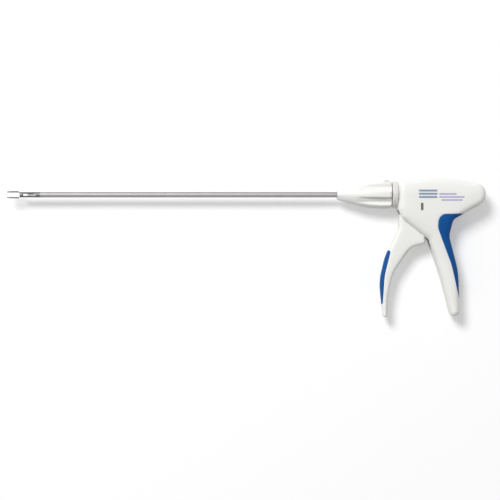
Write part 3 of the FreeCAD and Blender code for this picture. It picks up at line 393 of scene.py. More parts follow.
@dataclass
class Relief:
    """Upright columns on a triangulated plan, each standing between two of its levels.

    Args:
        outline: silhouette of everything that the plan holds.
        lines: further lines that triangles have to follow, as (points, closed).
        rim: radius over which the top falls off round the silhouette.
        spacing: distance between the free points of the middle.
        rim_angles: angles, in degrees, at which rings of points lie on the rounded rim.
        grid_gap: distance kept between the rim and the grid of the middle.
        line_gap: distance kept between a free point and any drawn line.
    """

    outline: np.ndarray
    lines: list[tuple[np.ndarray, bool]]
    rim: float
    spacing: float = 2.4
    rim_angles: tuple[float, ...] = (22.0, 36.0, 48.0, 60.0, 72.0, 84.0)
    grid_gap: float = 0.3
    line_gap: float = 0.45
    points: np.ndarray = field(init=False)
    triangles: np.ndarray = field(init=False)
    edge_distance: np.ndarray = field(init=False)

    def __post_init__(self) -> None:
        """Triangulates the plan once all its lines are known."""
        fixed: list[np.ndarray] = [self.outline]
        edges = [self._chain(0, len(self.outline), True)]
        start = len(self.outline)
        for line, closed in self.lines:
            fixed.append(line)
            edges.append(self._chain(start, len(line), closed))
            start += len(line)
        free = self._free_points()
        everything = np.concatenate([*fixed, free])
        out = delaunay_2d_cdt(
            [Vector(p) for p in everything.tolist()],
            np.concatenate(edges).tolist(),
            [],
            0,
            SNAP,
        )
        self.points = np.array([p[:] for p in out[0]])
        triangles = np.array([f for f in out[2] if len(f) == 3])
        a, b, c = (self.points[triangles[:, i]] for i in range(3))
        turn = np.cross(b - a, c - a)
        triangles[turn < 0] = triangles[turn < 0][:, ::-1]
        middle = self.points[triangles].mean(1)
        self.triangles = triangles[(np.abs(turn) > LEAST_AREA) & inside(middle, self.outline)]
        self.edge_distance = distance(self.points, self.outline)

    @staticmethod
    def _chain(start: int, count: int, closed: bool) -> np.ndarray:
        """Pairs of neighbouring indices along a line."""
        first = np.arange(start, start + count - (0 if closed else 1))
        return np.stack([first, np.where(first + 1 < start + count, first + 1, start)], 1)

    def _free_points(self) -> np.ndarray:
        """Rings that follow the rounded rim, then an even grid over the middle.

        Ring k lies rim * (1 - cos(angle k)) inside the silhouette, so that the rings are evenly
        spaced on the rounding.

        Returns:
            The points that stay clear of every drawn line.
        """
        angles = np.radians(self.rim_angles)
        rings = [shrunk(self.outline, self.rim * (1 - math.cos(a))) for a in angles]
        low, high = self.outline.min(0), self.outline.max(0)
        across = [np.arange(low[i], high[i], self.spacing) for i in range(2)]
        grid = np.stack(np.meshgrid(*across), -1).reshape(-1, 2)
        grid[:, 0] += np.where(np.round(grid[:, 1] / self.spacing) % 2 > 0, self.spacing / 2, 0)
        grid = grid[inside(grid, self.outline)]
        grid = grid[distance(grid, self.outline) > self.rim + self.grid_gap]
        free = np.concatenate([*rings, grid])
        for line, closed in self.lines:
            free = free[distance(free, line, closed) > self.line_gap]
        return free

    def middles(self) -> np.ndarray:
        """The middle of each triangle."""
        return self.points[self.triangles].mean(1)

    def fall(self) -> np.ndarray:
        """How far each point lies below the crown for the rounded rim."""
        return rim_fall(self.edge_distance, self.rim)

    def slab(self, foot: np.ndarray, top: np.ndarray) -> Shape:
        """Closed skin of a plain slab over the whole plan.

        Args:
            foot: height of the underside at each point.
            top: height of the upper side.

        Returns:
            Vertices in millimetres and faces as lists of indices.
        """
        low = np.full(len(self.triangles), int(Level.FLOOR))
        high = np.full(len(low), int(Level.TOP))
        return self.solid(low, high, np.stack([foot, foot, top, top], 1))

    def solid(
        self, low: np.ndarray, high: np.ndarray, levels: np.ndarray, flip: bool = False
    ) -> Shape:
        """Closed skin of the columns.

        A side wall stands wherever a column's span is not covered by its neighbour's. A wall takes
        in the levels that other faces use at its two ends, so that no corner meets a wall's middle.

        Args:
            low: level at which each triangle's column starts, GONE where there is none.
            high: level at which it ends.
            levels: height of each point (row) at each level (column).
            flip: whether to mirror the solid through the plane z = 0.

        Returns:
            Vertices in millimetres and faces as lists of indices.
        """
        there = low != GONE
        tri, low, high = self.triangles[there], low[there], high[there]
        count = len(Level)
        used = np.zeros((len(self.points), count), bool)
        for corner in range(3):
            used[tri[:, corner], low] = True
            used[tri[:, corner], high] = True
        start, end = tri.ravel(), np.roll(tri, -1, 1).ravel()
        owner = np.repeat(np.arange(len(tri)), 3)
        key = start * len(self.points) + end
        order = np.argsort(key)
        twin = end * len(self.points) + start
        at = np.clip(np.searchsorted(key[order], twin), 0, len(key) - 1)
        met = key[order][at] == twin
        other = owner[order][at]
        mine_low, mine_high = low[owner], high[owner]
        next_low = np.where(met, low[other], mine_high)
        next_high = np.where(met, high[other], mine_high)
        spans = (
            (mine_low, np.minimum(next_low, mine_high)),
            (np.maximum(next_high, mine_low), mine_high),
        )
        steps = np.arange(count)
        walls: list[list[int]] = []
        for foot, head in spans:
            pick = foot < head
            foot, head = foot[pick, None], head[pick, None]
            sides: list[np.ndarray] = []
            for place in (end[pick], start[pick]):
                wanted = (steps >= foot) & (steps <= head) & used[place]
                wanted |= (steps == foot) | (steps == head)
                sides.append(np.where(wanted, place[:, None] * count + steps, GONE))
            rings = np.concatenate([sides[0], sides[1][:, ::-1]], 1)
            walls += [ring[ring != GONE].tolist() for ring in rings]
        tops = (tri * count + high[:, None]).tolist()
        floors = (tri * count + low[:, None])[:, ::-1].tolist()
        faces = tops + floors + walls
        heights = -levels if flip else levels
        xy = np.repeat(self.points, count, 0)
        vertices = np.column_stack([xy, heights.ravel()])
        if flip:
            faces = [face[::-1] for face in faces]
        return vertices, faces


# Round and swept geometry


def grid_faces(rows: int, columns: int, wrap_rows: bool, wrap_columns: bool = True) -> np.ndarray:
    """Quads of a grid of points stored row by row.

    Args:
        rows: number of rows.
        columns: number of points in a row.
        wrap_rows: whether the last row joins the first.
        wrap_columns: whether the last column joins the first.

    Returns:
        One row of four indices for each quad.
    """
    i = np.arange(rows if wrap_rows else rows - 1)[:, None]
    j = np.arange(columns if wrap_columns else columns - 1)[None, :]
    i1, j1 = (i + 1) % rows, (j + 1) % columns
    corners = (i * columns + j, i * columns + j1, i1 * columns + j1, i1 * columns + j)
    return np.stack(np.broadcast_arrays(*corners), -1).reshape(-1, 4)


def around(x: np.ndarray, radius: np.ndarray, angle: np.ndarray) -> np.ndarray:
    """The point (x, radius sin angle, radius cos angle) of every row and angle."""
    x, radius, angle = np.broadcast_arrays(x, radius, angle)
    return np.stack([x, radius * np.sin(angle), radius * np.cos(angle)], -1)


def turned_ring(profile: np.ndarray, count: int = 96) -> Shape:
    """Surface of revolution about X of a closed profile of (x, radius) points.

    The point at share u round the axis is (x, radius sin, radius cos) of the angle 2 pi u. A
    profile that runs to +X on its outer side gives outward faces.

    Args:
        profile: closed profile, one row for each point.
        count: number of points round the axis.

    Returns:
        Vertices and quads.
    """
    angles = np.linspace(0, FULL_TURN, count, endpoint=False)
    points = around(profile[:, :1], profile[:, 1:], angles).reshape(-1, 3)
    return points, grid_faces(len(profile), count, True)


def smooth_step(value: np.ndarray) -> np.ndarray:
    """3 t^2 - 2 t^3 of the value clipped to 0..1."""
    share = np.clip(value, 0, 1)
    return share * share * (3 - 2 * share)


def joined(parts: list[Shape]) -> Shape:
    """Lists several closed shapes as one.

    Args:
        parts: vertices and faces of each.

    Returns:
        All vertices, and all faces with their indices moved on.
    """
    vertices = np.concatenate([part[0] for part in parts])
    faces: list[list[int]] = []
    start = 0
    for points, polygons in parts:
        if isinstance(polygons, np.ndarray):
            faces += (polygons + start).tolist()
        else:
            faces += [[i + start for i in face] for face in polygons]
        start += len(points)
    return vertices, faces


# Pieces


@dataclass
class Maker:
    """Turns vertices and faces into finished objects that ride on their bodies.

    Args:
        paint: the materials.
        smooth_angle: edges sharper than this, in degrees, stay sharp.
    """

    paint: Paintbox
    smooth_angle: float = 38.0

    def make(
        self,
        name: str,
        body: str,
        slot: str,
        shape: Shape,
        stands_for: tuple[str, ...] = (),
        finish: str | None = None,
    ) -> bpy.types.Object:
        """Builds one object.

        Args:
            name: name of the piece.
            body: body that it rides on.
            slot: material slot of the record.
            shape: vertices in millimetres, and faces.
            stands_for: nodes that it replaces.
            finish: key of FINISHES where it is not the slot's.

        Returns:
            The finished object.
        """
        vertices, faces = shape
        faces = faces.tolist() if isinstance(faces, np.ndarray) else faces
        used = np.unique(np.fromiter((i for face in faces for i in face), int))
        where = np.full(len(vertices), -1)
        where[used] = np.arange(len(used))
        mesh = bpy.data.meshes.new(name)
        mesh.from_pydata(
            (vertices[used] * MM).tolist(), [], [[int(where[i]) for i in face] for face in faces]
        )
        mesh.validate()
        mesh.polygons.foreach_set("use_smooth", np.ones(len(mesh.polygons), bool))
        mesh.set_sharp_from_angle(angle=math.radians(self.smooth_angle))
        mesh.materials.append(self.paint.get(finish or slot))
        made = bpy.data.objects.new(name, mesh)
        bpy.context.scene.collection.objects.link(made)
        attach(made, body)
        if stands_for:
            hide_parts(*stands_for)
        log.info("%s: %d faces on %s", name, len(mesh.polygons), body)
        return made


@dataclass
class Handle:
    """The pistol-grip housing: two white shells, two blue covers, nose ring, window and marking.

    The half's height is crown(y) less the rounded rim less a gentle dome, for white and blue alike.
    """

    outline: tuple[Corner, ...] = (
        (60.5, 13.6, 5.5), (60.5, -14.5, 12.0), (64.5, -23.8, 10.0), (91.0, -45.0, 4.0),
        (103.6, -83.5, 150.0), (113.5, -121.8, 5.0), (122.9, -121.8, 5.0), (121.0, -76.0, 80.0),
        (111.8, -41.5, 16.0), (115.8, -25.1, 8.0), (148.2, -7.0, 12.0), (148.2, 10.2, 11.0),
        (101.0, 18.3, 120.0),
    )
    cover_line: tuple[Corner, ...] = (
        (138.2, -19.0, 0.0), (101.0, -19.8, 8.0), (99.6, -33.0, 16.0), (113.5, -69.5, 60.0),
        (121.8, -104.0, 1.5), (138.2, -106.0, 0.0),
    )
    crown_line: Profile = (
        (-132.0, 11.4), (-62.0, 12.0), (-24.0, 15.0), (4.0, 15.0), (26.0, 12.6),
    )
    slot: tuple[Corner, ...] = (
        (56.5, -15.4, 0.0), (56.5, -31.8, 0.0), (88.0, -55.0, 0.0), (97.0, -55.0, 1.0),
        (100.0, -43.0, 2.0), (64.5, -15.4, 0.0),
    )
    posts: Profile = ((137.0, 0.0), (128.0, 9.0), (109.6, -80.0), (115.6, -107.0))
    post_radius: float = 1.6
    post_bore: float = 0.6
    post_gap: float = 0.15
    pivot: tuple[float, float] = (81.4, -27.3)
    pivot_boss: float = 4.6
    pivot_bore: float = 2.52
    pivot_gap: float = 7.7
    fitting_bite: float = 0.3
    fitting_sides: int = 32
    rim: float = 5.6
    dome: float = 1.1
    dome_reach: float = 14.0
    wall: float = 2.6
    least_wall: float = 0.8
    least_room: float = 0.05
    least_step: float = 0.02
    seam: float = 0.14
    seam_edge: float = 0.45
    groove_depth: float = 0.4
    groove_reach: float = 0.6
    parting: float = 0.05
    slot_half: float = 7.5
    nose_front: float = 55.0
    nose_seat: float = 60.5
    nose_radius: float = 13.4
    nose_edge: float = 1.6
    nose_bore: float = 8.06
    flange_radius: float = 9.4
    flange_depth: float = 2.6
    window: tuple[float, float, float, float] = (83.9, -12.3, 1.3, 3.9)
    window_rim: float = 0.55
    lens_gap: float = 0.02
    lens_edge: float = 0.3
    lens_spacing: float = 0.5
    lens_foot: float = 12.45
    lens_top: float = 14.35
    stripes: tuple[tuple[float, float, float, float, str], ...] = (
        (80.6, 99.0, 2.6, 4.6, "ink"), (80.6, 99.0, -0.6, 1.4, "ink"),
        (80.6, 99.0, -3.8, -1.8, "ink"), (100.8, 118.0, -0.6, 1.0, "pale_ink"),
        (100.8, 126.0, -3.6, -2.0, "pale_ink"), (103.0, 124.0, -6.6, -5.0, "pale_ink"),
    )
    stripe_corner: float = 0.5
    stripe_step: float = 0.4
    stripe_edge: float = 0.3
    stripe_spacing: float = 1.2
    stripe_sunk: float = 0.15
    stripe_proud: float = 0.03

    def crown(self, points: np.ndarray) -> np.ndarray:
        """Height of the crown at each point: smoothed straight runs along Y."""
        y, z = np.array(self.crown_line).T
        spread = np.linspace(-5, 5, 11)
        return np.mean([np.interp(points[:, 1] + s, y, z) for s in spread], axis=0)

    def top(self, points: np.ndarray, edge: np.ndarray) -> np.ndarray:
        """Height of the outer face.

        Args:
            points: places in plan.
            edge: distance of each from the silhouette.

        Returns:
            crown - rim fall - dome * (1 - d / reach)^2.
        """
        dome = self.dome * fade(edge, self.dome_reach)
        return self.crown(points) - rim_fall(edge, self.rim) - dome

    def plan(self) -> tuple[Relief, np.ndarray, np.ndarray]:
        """Triangulates the side view.

        Returns:
            The relief, the loop of the cover and the window's loop.
        """
        outline = rounded(self.outline)
        cover = rounded(self.cover_line)
        white_side = inward(cover, -self.seam / 2)
        blue_side = inward(cover, self.seam / 2)
        soft_edge = inward(cover, -self.seam_edge), inward(cover, self.seam_edge)
        window = obround(*self.window)
        x, y, radius, reach = self.window
        lip = obround(x, y, radius + self.window_rim, reach + self.window_rim)
        lines = [(line, True) for line in (white_side, blue_side, *soft_edge, window, lip)]
        lines.append((rounded(self.slot), True))
        room = shrunk(outline, self.wall)
        room = room[~inside(room, inward(cover, -self.wall))]
        inner = inward(cover, -self.wall)
        inner = inner[inside(inner, outline) & (distance(inner, outline) > self.wall)]
        lines.append((room, False))
        lines.append((inner, False))
        return Relief(outline, lines, self.rim), cover, window

    def build(self, maker: Maker) -> None:
        """Makes the shells, covers, ring, window and marking.

        Args:
            maker: turns shapes into pieces.
        """
        relief, cover, window = self.plan()
        middles = relief.middles()
        blue = inside(middles, inward(cover, self.seam / 2))
        white = ~inside(middles, inward(cover, -self.seam / 2))
        groove = self.groove_depth * fade(distance(relief.points, cover), self.groove_reach)
        top = self.top(relief.points, relief.edge_distance) - groove
        near_wall = distance(middles, relief.outline) < self.wall
        near_wall |= distance(middles, cover) < self.wall
        slot = inside(middles, rounded(self.slot))
        levels = np.stack(
            [
                np.full(len(top), self.parting),
                np.full(len(top), self.slot_half),
                np.maximum(top - self.wall, self.slot_half + self.least_room),
                top,
            ],
            1,
        )
        ceiling = np.minimum(levels[:, Level.CEILING], top - self.least_wall)
        levels[:, Level.CEILING] = ceiling
        levels[:, Level.STEP] = np.minimum(self.slot_half, ceiling - self.least_step)
        low = np.where(near_wall, Level.FLOOR, Level.CEILING)
        low = np.where(slot & near_wall, Level.STEP, low)
        in_window = inside(middles, window)
        high = np.full(len(low), int(Level.TOP))
        for side, name in ((1, "right"), (-1, "left")):
            shell_low = np.where(white, low, GONE)
            if side > 0:
                shell_low = np.where(in_window, GONE, shell_low)
            parts = [relief.solid(shell_low, high, levels, side < 0), *self._fittings(side)]
            maker.make(
                f"shell_{name}", "housing", "shell", joined(parts), (f"housing_{name}",)
            )
            cover_low = np.where(blue, Level.FLOOR, GONE)
            maker.make(
                f"cover_{name}",
                "housing",
                "blue_rubber",
                relief.solid(cover_low, high, levels, side < 0),
                (f"grip_cover_{name}",),
            )
        self._nose(maker)
        self._window(maker)
        self._marking(maker)

    def _fittings(self, side: int) -> list[Shape]:
        """Pivot boss and joining posts of one half, as short closed tubes that stand inside it."""
        made: list[Shape] = []
        spots = [(*self.pivot, self.pivot_boss, self.pivot_bore, self.pivot_gap)]
        spots += [(x, y, self.post_radius, self.post_bore, self.post_gap) for x, y in self.posts]
        for x, y, radius, bore, low in spots:
            place = np.array([[x, y]])
            edge = distance(place, rounded(self.outline))
            high = float(self.top(place, edge)[0]) - self.wall + self.fitting_bite
            profile = np.array([(low, radius), (high, radius), (high, bore), (low, bore)])
            vertices, faces = turned_ring(profile, self.fitting_sides)
            vertices = vertices[:, [1, 2, 0]] + np.array([x, y, 0])
            if side < 0:
                vertices[:, 2] *= -1
                faces = faces[:, ::-1]
            made.append((vertices, faces))
        return made

    def _nose(self, maker: Maker) -> None:
        """The bearing ring in which the knob's spindle turns: a rounded collar and its flange."""
        front, seat, radius = self.nose_front, self.nose_seat, self.nose_radius
        rear, edge = seat + self.flange_depth, self.nose_edge
        soft = np.radians(np.linspace(180, 90, 9))
        along, out = front + edge + edge * np.cos(soft), radius - edge + edge * np.sin(soft)
        profile = np.concatenate(
            [
                np.stack([along, out], 1),
                [(seat, radius), (seat, self.flange_radius), (rear, self.flange_radius)],
                [(rear, self.nose_bore), (front, self.nose_bore)],
            ]
        )
        maker.make("nose_ring", "housing", "shell_ring", turned_ring(profile), ("front_bearing",))

    def _window(self, maker: Maker) -> None:
        """The clear lens over the clip counter, with a bevelled rim."""
        x, y, radius, reach = self.window
        outline = obround(x, y, radius - self.lens_gap, reach - self.lens_gap)
        relief = Relief(outline, [], self.lens_edge, self.lens_spacing)
        top = self.lens_top - relief.fall()
        lens = relief.slab(np.full(len(top), self.lens_foot), top)
        maker.make("window_lens", "housing", "window", lens, ("counter_window",))

    def _marking(self, maker: Maker) -> None:
        """Generic stripes printed on the right shell, following its surface."""
        outline = rounded(self.outline)
        for number, (x0, x1, y0, y1, ink) in enumerate(self.stripes, 1):
            spots = ((x0, y0), (x1, y0), (x1, y1), (x0, y1))
            corners = tuple((x, y, self.stripe_corner) for x, y in spots)
            relief = Relief(
                rounded(corners, self.stripe_step), [], self.stripe_edge, self.stripe_spacing
            )
            top = self.top(relief.points, distance(relief.points, outline))
            stripe = relief.slab(top - self.stripe_sunk, top + self.stripe_proud)
            maker.make(f"marking_{number}", "housing", "shell", stripe, finish=ink)


@dataclass
class Trigger:
    """The white finger lever with its fork recess and the blue facing in front."""

    outline: tuple[Corner, ...] = (
        (62.2, -19.6, 1.5), (61.4, -34.0, 14.0), (48.3, -62.0, 60.0), (42.4, -87.0, 60.0),
        (46.0, -123.0, 2.0), (50.2, -123.0, 2.0), (51.2, -101.0, 80.0), (56.0, -78.5, 40.0),
        (73.4, -53.2, 18.0), (88.3, -49.3, 2.0), (89.1, -19.6, 7.0),
    )
    facing: tuple[Corner, ...] = (
        (33.6, -54.0, 0.0), (33.6, -111.0, 0.0), (45.4, -110.0, 1.5), (47.2, -81.5, 60.0),
        (53.6, -56.0, 2.0),
    )
    half: float = 7.2
    rim: float = 3.2
    spacing: float = 2.0
    dome: float = 0.5
    dome_reach: float = 6.0
    seam: float = 0.12
    seam_edge: float = 0.5
    groove_depth: float = 0.35
    groove_reach: float = 0.55
    recess: float = 4.95
    least_step: float = 0.02
    pivot: tuple[float, float] = (81.4, -27.3)
    pivot_bore: float = 2.56
    lean_degrees: float = 17.0
    fork_far: float = 26.8
    fork_tail: float = 5.7
    fork_hub: float = 5.75
    fork_tip: float = 2.95
    strap_corner: float = 0.9
    strap_step: float = 0.6

    def strap(self) -> np.ndarray:
        """Plan of the recess that the steel fork lies in, leaning back by half the swing."""
        lean = math.radians(self.lean_degrees)
        along = np.array([math.sin(lean), math.cos(lean)])
        across = np.array([along[1], -along[0]])
        near, far = -self.fork_tail, self.fork_far
        hub, tip = self.fork_hub, self.fork_tip
        corners = tuple(
            (*(np.array(self.pivot) + along * a + across * b), abs(b) * self.strap_corner)
            for a, b in ((near, -hub), (near, hub), (far, tip), (far, -tip))
        )
        return rounded(corners, self.strap_step)

    def build(self, maker: Maker) -> None:
        """Makes the lever and its facing.

        Args:
            maker: turns shapes into pieces.
        """
        outline = rounded(self.outline)
        facing = rounded(self.facing)
        strap = self.strap()
        hole = circle(*self.pivot, self.pivot_bore)
        both = (inward(facing, -self.seam / 2), inward(facing, self.seam / 2))
        soft_edge = inward(facing, -self.seam_edge), inward(facing, self.seam_edge)
        lines = [(line, True) for line in (*both, *soft_edge, strap, hole)]
        relief = Relief(outline, lines, self.rim, self.spacing)
        middles = relief.middles()
        dome = self.dome * fade(relief.edge_distance, self.dome_reach)
        groove = self.groove_depth * fade(distance(relief.points, facing), self.groove_reach)
        top = self.half - relief.fall() - dome - groove
        step = np.minimum(self.recess, top - self.least_step)
        levels = np.stack([-top, -step, step, top], 1)
        in_strap = inside(middles, strap)
        blue = inside(middles, both[1])
        white = ~inside(middles, both[0]) & ~inside(middles, hole)
        low = np.where(in_strap, Level.STEP, Level.FLOOR)
        high = np.where(in_strap, Level.CEILING, Level.TOP)
        maker.make(
            "trigger_body",
            "trigger",
            "shell",
            relief.solid(np.where(white, low, GONE), high, levels),
            ("trigger_lever",),
        )
        plain = np.full(len(low), int(Level.TOP))
        maker.make(
            "trigger_grip",
            "trigger",
            "blue_rubber",
            relief.solid(np.where(blue, Level.FLOOR, GONE), plain, levels),
            ("trigger_facing",),
        )


@dataclass
class Knob:
    """The rotation knob: an ogive whose flutes leave six fins, with one pointer pip."""

    ogive: Profile = (
        (0.0, 5.0), (0.5, 5.4), (13.0, 9.0), (23.0, 12.0), (33.0, 13.8), (44.0, 14.7), (52.0, 14.7),
        (53.6, 14.2), (54.3, 13.3),
    )
    core: Profile = ((0.0, 5.0), (13.0, 9.0), (20.0, 10.8), (44.0, 11.4), (54.3, 11.4))
    bore: Profile = (
        (54.3, 8.04), (36.0, 8.04), (36.0, 2.76), (1.6, 2.76), (1.6, 4.64), (0.0, 4.64),
    )
    fins: int = 6
    fin_first: float = 0.0
    fin_half: float = 9.5
    flank: float = 12.0
    pip_angle: float = 64.0
    pip_span: tuple[float, float] = (45.2, 52.0)
    pip_height: float = 2.2
    pip_half: float = 7.0
    pip_ramp: float = 1.4
    pip_flank: float = 3.0
    soft_width: float = 3.0
    soft_front: float = 6.0
    soft_rear: float = 4.0
    sharp_rear: float = 3.2
    rows: int = 130
    columns: int = 360

    def build(self, maker: Maker) -> None:
        """Makes the knob.

        The outer radius is core + (ogive - core) * fin, where fin runs smoothly from 1 on a fin to
        0 in a flute by the angle from the nearest fin's middle. The pip adds a smooth bump.

        Args:
            maker: turns shapes into pieces.
        """
        rows = np.linspace(0, self.ogive[-1][0], self.rows)
        turn = np.linspace(0, 360, self.columns, endpoint=False)
        ogive = self._soft(self.ogive, rows)[:, None]
        core = np.minimum(self._soft(self.core, rows)[:, None], ogive)
        pitch = 360 / self.fins
        off = np.abs((turn - self.fin_first + pitch / 2) % pitch - pitch / 2)[None, :]
        fin = 1 - smooth_step((off - self.fin_half) / self.flank)
        radius = core + (ogive - core) * fin
        near = np.abs(turn - self.pip_angle)[None, :]
        low, high = self.pip_span
        ramp = self.pip_ramp
        along = smooth_step((rows - low) / ramp) * smooth_step((high - rows) / ramp)
        beside = 1 - smooth_step((near - self.pip_half) / self.pip_flank)
        radius += self.pip_height * along[:, None] * beside
        angle = np.radians(turn)
        outer = around(rows[:, None], radius, angle)
        x, r = np.array(self.bore).T
        inner = around(x[:, None], r[:, None], angle)
        vertices = np.concatenate([outer, inner]).reshape(-1, 3)
        faces = grid_faces(len(rows) + len(x), len(angle), True)
        maker.make("turning_knob", "shaft", "shell", (vertices, faces), ("knob",))

    def _soft(self, profile: Profile, rows: np.ndarray) -> np.ndarray:
        """Radius along a profile, its corners softened by a running mean but for the ends."""
        x, r = np.array(profile).T
        width = self.soft_width * smooth_step(rows / self.soft_front)
        width *= smooth_step((x[-1] - self.sharp_rear - rows) / self.soft_rear)
        spread = np.linspace(-0.5, 0.5, 9)
        return np.mean([np.interp(rows + s * width, x, r) for s in spread], axis=0)


@dataclass
class Shaft:
    """The drawn steel tube."""

    front: float = -298.5
    rear: float = 22.0
    radius: float = 2.7
    bore: float = 2.35
    edge: float = 0.12
    rings: int = 40

    def build(self, maker: Maker) -> None:
        """Makes the tube with its broken edges.

        Args:
            maker: turns shapes into pieces.
        """
        along = np.linspace(self.front + self.edge, self.rear - self.edge, self.rings)
        outer = np.stack([along, np.full(len(along), self.radius)], 1)
        profile = np.concatenate(
            [
                [(self.front, self.radius - self.edge)],
                outer,
                [(self.rear, self.radius - self.edge), (self.rear, self.bore)],
                [(self.front, self.bore)],
            ]
        )
        maker.make("shaft_tube", "shaft", "brushed_steel", turned_ring(profile), ("outer_tube",))


@dataclass
class Spring:
    """The return spring: a wire carried along a helix."""

    front: float = 116.65
    rear: float = 134.75
    radius: float = 2.9
    wire: float = 0.34
    turns: float = 6.0
    steps_per_turn: int = 36
    wire_sides: int = 12

    def build(self, maker: Maker) -> None:
        """Makes the closed coil, its wire's ring standing square to the helix at every step.

        Args:
            maker: turns shapes into pieces.
        """
        share = np.linspace(0, 1, int(self.turns * self.steps_per_turn) + 1)[:, None]
        angle = FULL_TURN * self.turns * share
        path = np.hstack(
            [self.front + (self.rear - self.front) * share, self.radius * np.sin(angle),
             -self.radius * np.cos(angle)]
        )
        along = unit(np.gradient(path, axis=0))
        out = unit(path * np.array([0.0, 1.0, 1.0]))
        side = np.cross(along, out)
        turn = np.linspace(0, FULL_TURN, self.wire_sides, endpoint=False)[None, :, None]
        rings = path[:, None] + self.wire * (
            np.cos(turn) * out[:, None] + np.sin(turn) * side[:, None]
        )
        count = self.wire_sides
        faces = grid_faces(len(rings), count, False).tolist()
        last = (len(rings) - 1) * count
        faces.append(list(range(count))[::-1])
        faces.append(list(range(last, last + count)))
        maker.make(
            "coil_spring", "housing", "steel", (rings.reshape(-1, 3), faces), ("return_spring",)
        )


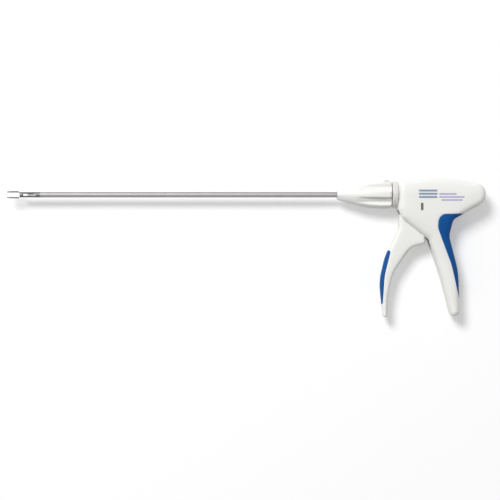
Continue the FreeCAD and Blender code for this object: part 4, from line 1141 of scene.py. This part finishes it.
@dataclass
class Studio:
    """Pale floor, soft lights and the camera straight above the instrument."""

    look_at: tuple[float, float] = (-87.4, -55.5)
    height_mm: float = 1396.0
    lens_mm: float = 100.0
    sensor_mm: float = 36.0
    view_reach: float = 50.0
    floor_mm: float = -15.2
    floor_reach: float = 2.6
    floor_colour: tuple[float, ...] = (0.96, 0.96, 0.96, 1.0)
    glow_share: float = 0.31
    glow_level: float = 1.12
    key_watts: float = 141.0
    key_place: tuple[float, float, float] = (-1.5, 1.9, 3.3)
    key_size: float = 1.5
    bright_side: tuple[float, float, float] = (-0.3, 0.75, 0.59)
    world_span: tuple[float, float] = (-0.4, 1.0)
    world_levels: tuple[float, float] = (0.24, 0.44)
    seen_level: float = 1.0

    def build(self) -> None:
        """Makes floor, world, key light and camera."""
        self._floor()
        self._world()
        self._key()
        self._camera()

    def _floor(self) -> None:
        """A wide plane that glows a little where it is looked at, and keeps the shadow."""
        mesh = bpy.data.meshes.new("floor")
        reach, z = self.floor_reach, self.floor_mm * MM
        corners = [(-reach, -reach, z), (reach, -reach, z), (reach, reach, z), (-reach, reach, z)]
        mesh.from_pydata(corners, [], [(0, 1, 2, 3)])
        made = bpy.data.materials.new("floor_paper")
        made.use_nodes = True
        tree = made.node_tree
        tree.nodes.clear()
        matt = tree.nodes.new("ShaderNodeBsdfDiffuse")
        matt.inputs["Color"].default_value = self.floor_colour
        glow = tree.nodes.new("ShaderNodeEmission")
        glow.inputs["Color"].default_value = WHITE
        glow.inputs["Strength"].default_value = self.glow_level
        weight = tree.nodes.new("ShaderNodeMath")
        weight.operation = "MULTIPLY"
        weight.inputs[1].default_value = self.glow_share
        mix = tree.nodes.new("ShaderNodeMixShader")
        out = tree.nodes.new("ShaderNodeOutputMaterial")
        tree.links.new(self._shown(tree), weight.inputs[0])
        tree.links.new(weight.outputs["Value"], mix.inputs["Fac"])
        tree.links.new(matt.outputs["BSDF"], mix.inputs[1])
        tree.links.new(glow.outputs["Emission"], mix.inputs[2])
        tree.links.new(mix.outputs["Shader"], out.inputs["Surface"])
        mesh.materials.append(made)
        floor = bpy.data.objects.new("floor", mesh)
        bpy.context.scene.collection.objects.link(floor)

    @staticmethod
    def _shown(tree: bpy.types.NodeTree) -> bpy.types.NodeSocket:
        """1 where the surface is looked at, straight or in metal or glass, and 0 where it lights.

        Args:
            tree: the nodes of the floor or of the world.

        Returns:
            The socket with the larger of the camera, glossy and transmission rays.
        """
        rays = tree.nodes.new("ShaderNodeLightPath")
        shown = rays.outputs["Is Camera Ray"]
        for kind in ("Is Glossy Ray", "Is Transmission Ray"):
            larger = tree.nodes.new("ShaderNodeMath")
            larger.operation = "MAXIMUM"
            tree.links.new(shown, larger.inputs[0])
            tree.links.new(rays.outputs[kind], larger.inputs[1])
            shown = larger.outputs["Value"]
        return shown

    def _world(self) -> None:
        """White surroundings that fade from the bright side to the far one.

        Looked at, they are plain white beyond the floor, so that a low view has no horizon.
        """
        world = bpy.data.worlds.new("studio")
        world.use_nodes = True
        tree = world.node_tree
        back = tree.nodes["Background"]
        back.inputs["Color"].default_value = WHITE
        place = tree.nodes.new("ShaderNodeTexCoord")
        toward = tree.nodes.new("ShaderNodeVectorMath")
        toward.operation = "DOT_PRODUCT"
        toward.inputs[1].default_value = self.bright_side
        level = tree.nodes.new("ShaderNodeMapRange")
        level.inputs["From Min"].default_value = self.world_span[0]
        level.inputs["From Max"].default_value = self.world_span[1]
        level.inputs["To Min"].default_value = self.world_levels[0]
        level.inputs["To Max"].default_value = self.world_levels[1]
        seen = tree.nodes.new("ShaderNodeMapRange")
        seen.inputs["To Max"].default_value = self.seen_level
        tree.links.new(place.outputs["Generated"], toward.inputs[0])
        tree.links.new(toward.outputs["Value"], level.inputs["Value"])
        tree.links.new(level.outputs["Result"], seen.inputs["To Min"])
        tree.links.new(self._shown(tree), seen.inputs["Value"])
        tree.links.new(seen.outputs["Result"], back.inputs["Strength"])
        bpy.context.scene.world = world

    def _key(self) -> None:
        """A broad soft light from the upper left, so that shadows fall to the lower right."""
        lamp = bpy.data.lights.new("key", "AREA")
        lamp.shape = "DISK"
        lamp.size = self.key_size
        lamp.energy = self.key_watts
        made = bpy.data.objects.new("key", lamp)
        made.location = self.key_place
        made.rotation_euler = (-Vector(self.key_place)).to_track_quat("-Z", "Y").to_euler()
        bpy.context.scene.collection.objects.link(made)

    def _camera(self) -> None:
        """A long lens that looks straight down, the handle's top edge up in the picture."""
        lens = bpy.data.cameras.new("camera")
        lens.lens = self.lens_mm
        lens.sensor_width = self.sensor_mm
        lens.clip_end = self.view_reach
        made = bpy.data.objects.new("camera", lens)
        made.location = (self.look_at[0] * MM, self.look_at[1] * MM, self.height_mm * MM)
        bpy.context.scene.collection.objects.link(made)
        bpy.context.scene.camera = made


def dress_nodes(frame: dict, paint: Paintbox) -> None:
    """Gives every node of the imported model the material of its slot.

    Args:
        paint: the materials.
    """
    for part in frame["record"]["subparts"]:
        node = frame["nodes"][part["node"]]
        node.data.materials.clear()
        node.data.materials.append(paint.get(part["material_slot"]))


def main() -> None:
    """Loads the model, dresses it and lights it."""
    logging.basicConfig(level=logging.INFO, format="%(name)s %(message)s", stream=sys.stdout)
    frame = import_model()
    paint = Paintbox()
    maker = Maker(paint)
    dress_nodes(frame, paint)
    for assembly in (Handle(), Trigger(), Knob(), Shaft(), Spring()):
        assembly.build(maker)
    Studio().build()
    scene = bpy.context.scene
    scene.view_settings.view_transform = "Standard"


if __name__ == "__main__":
    main()
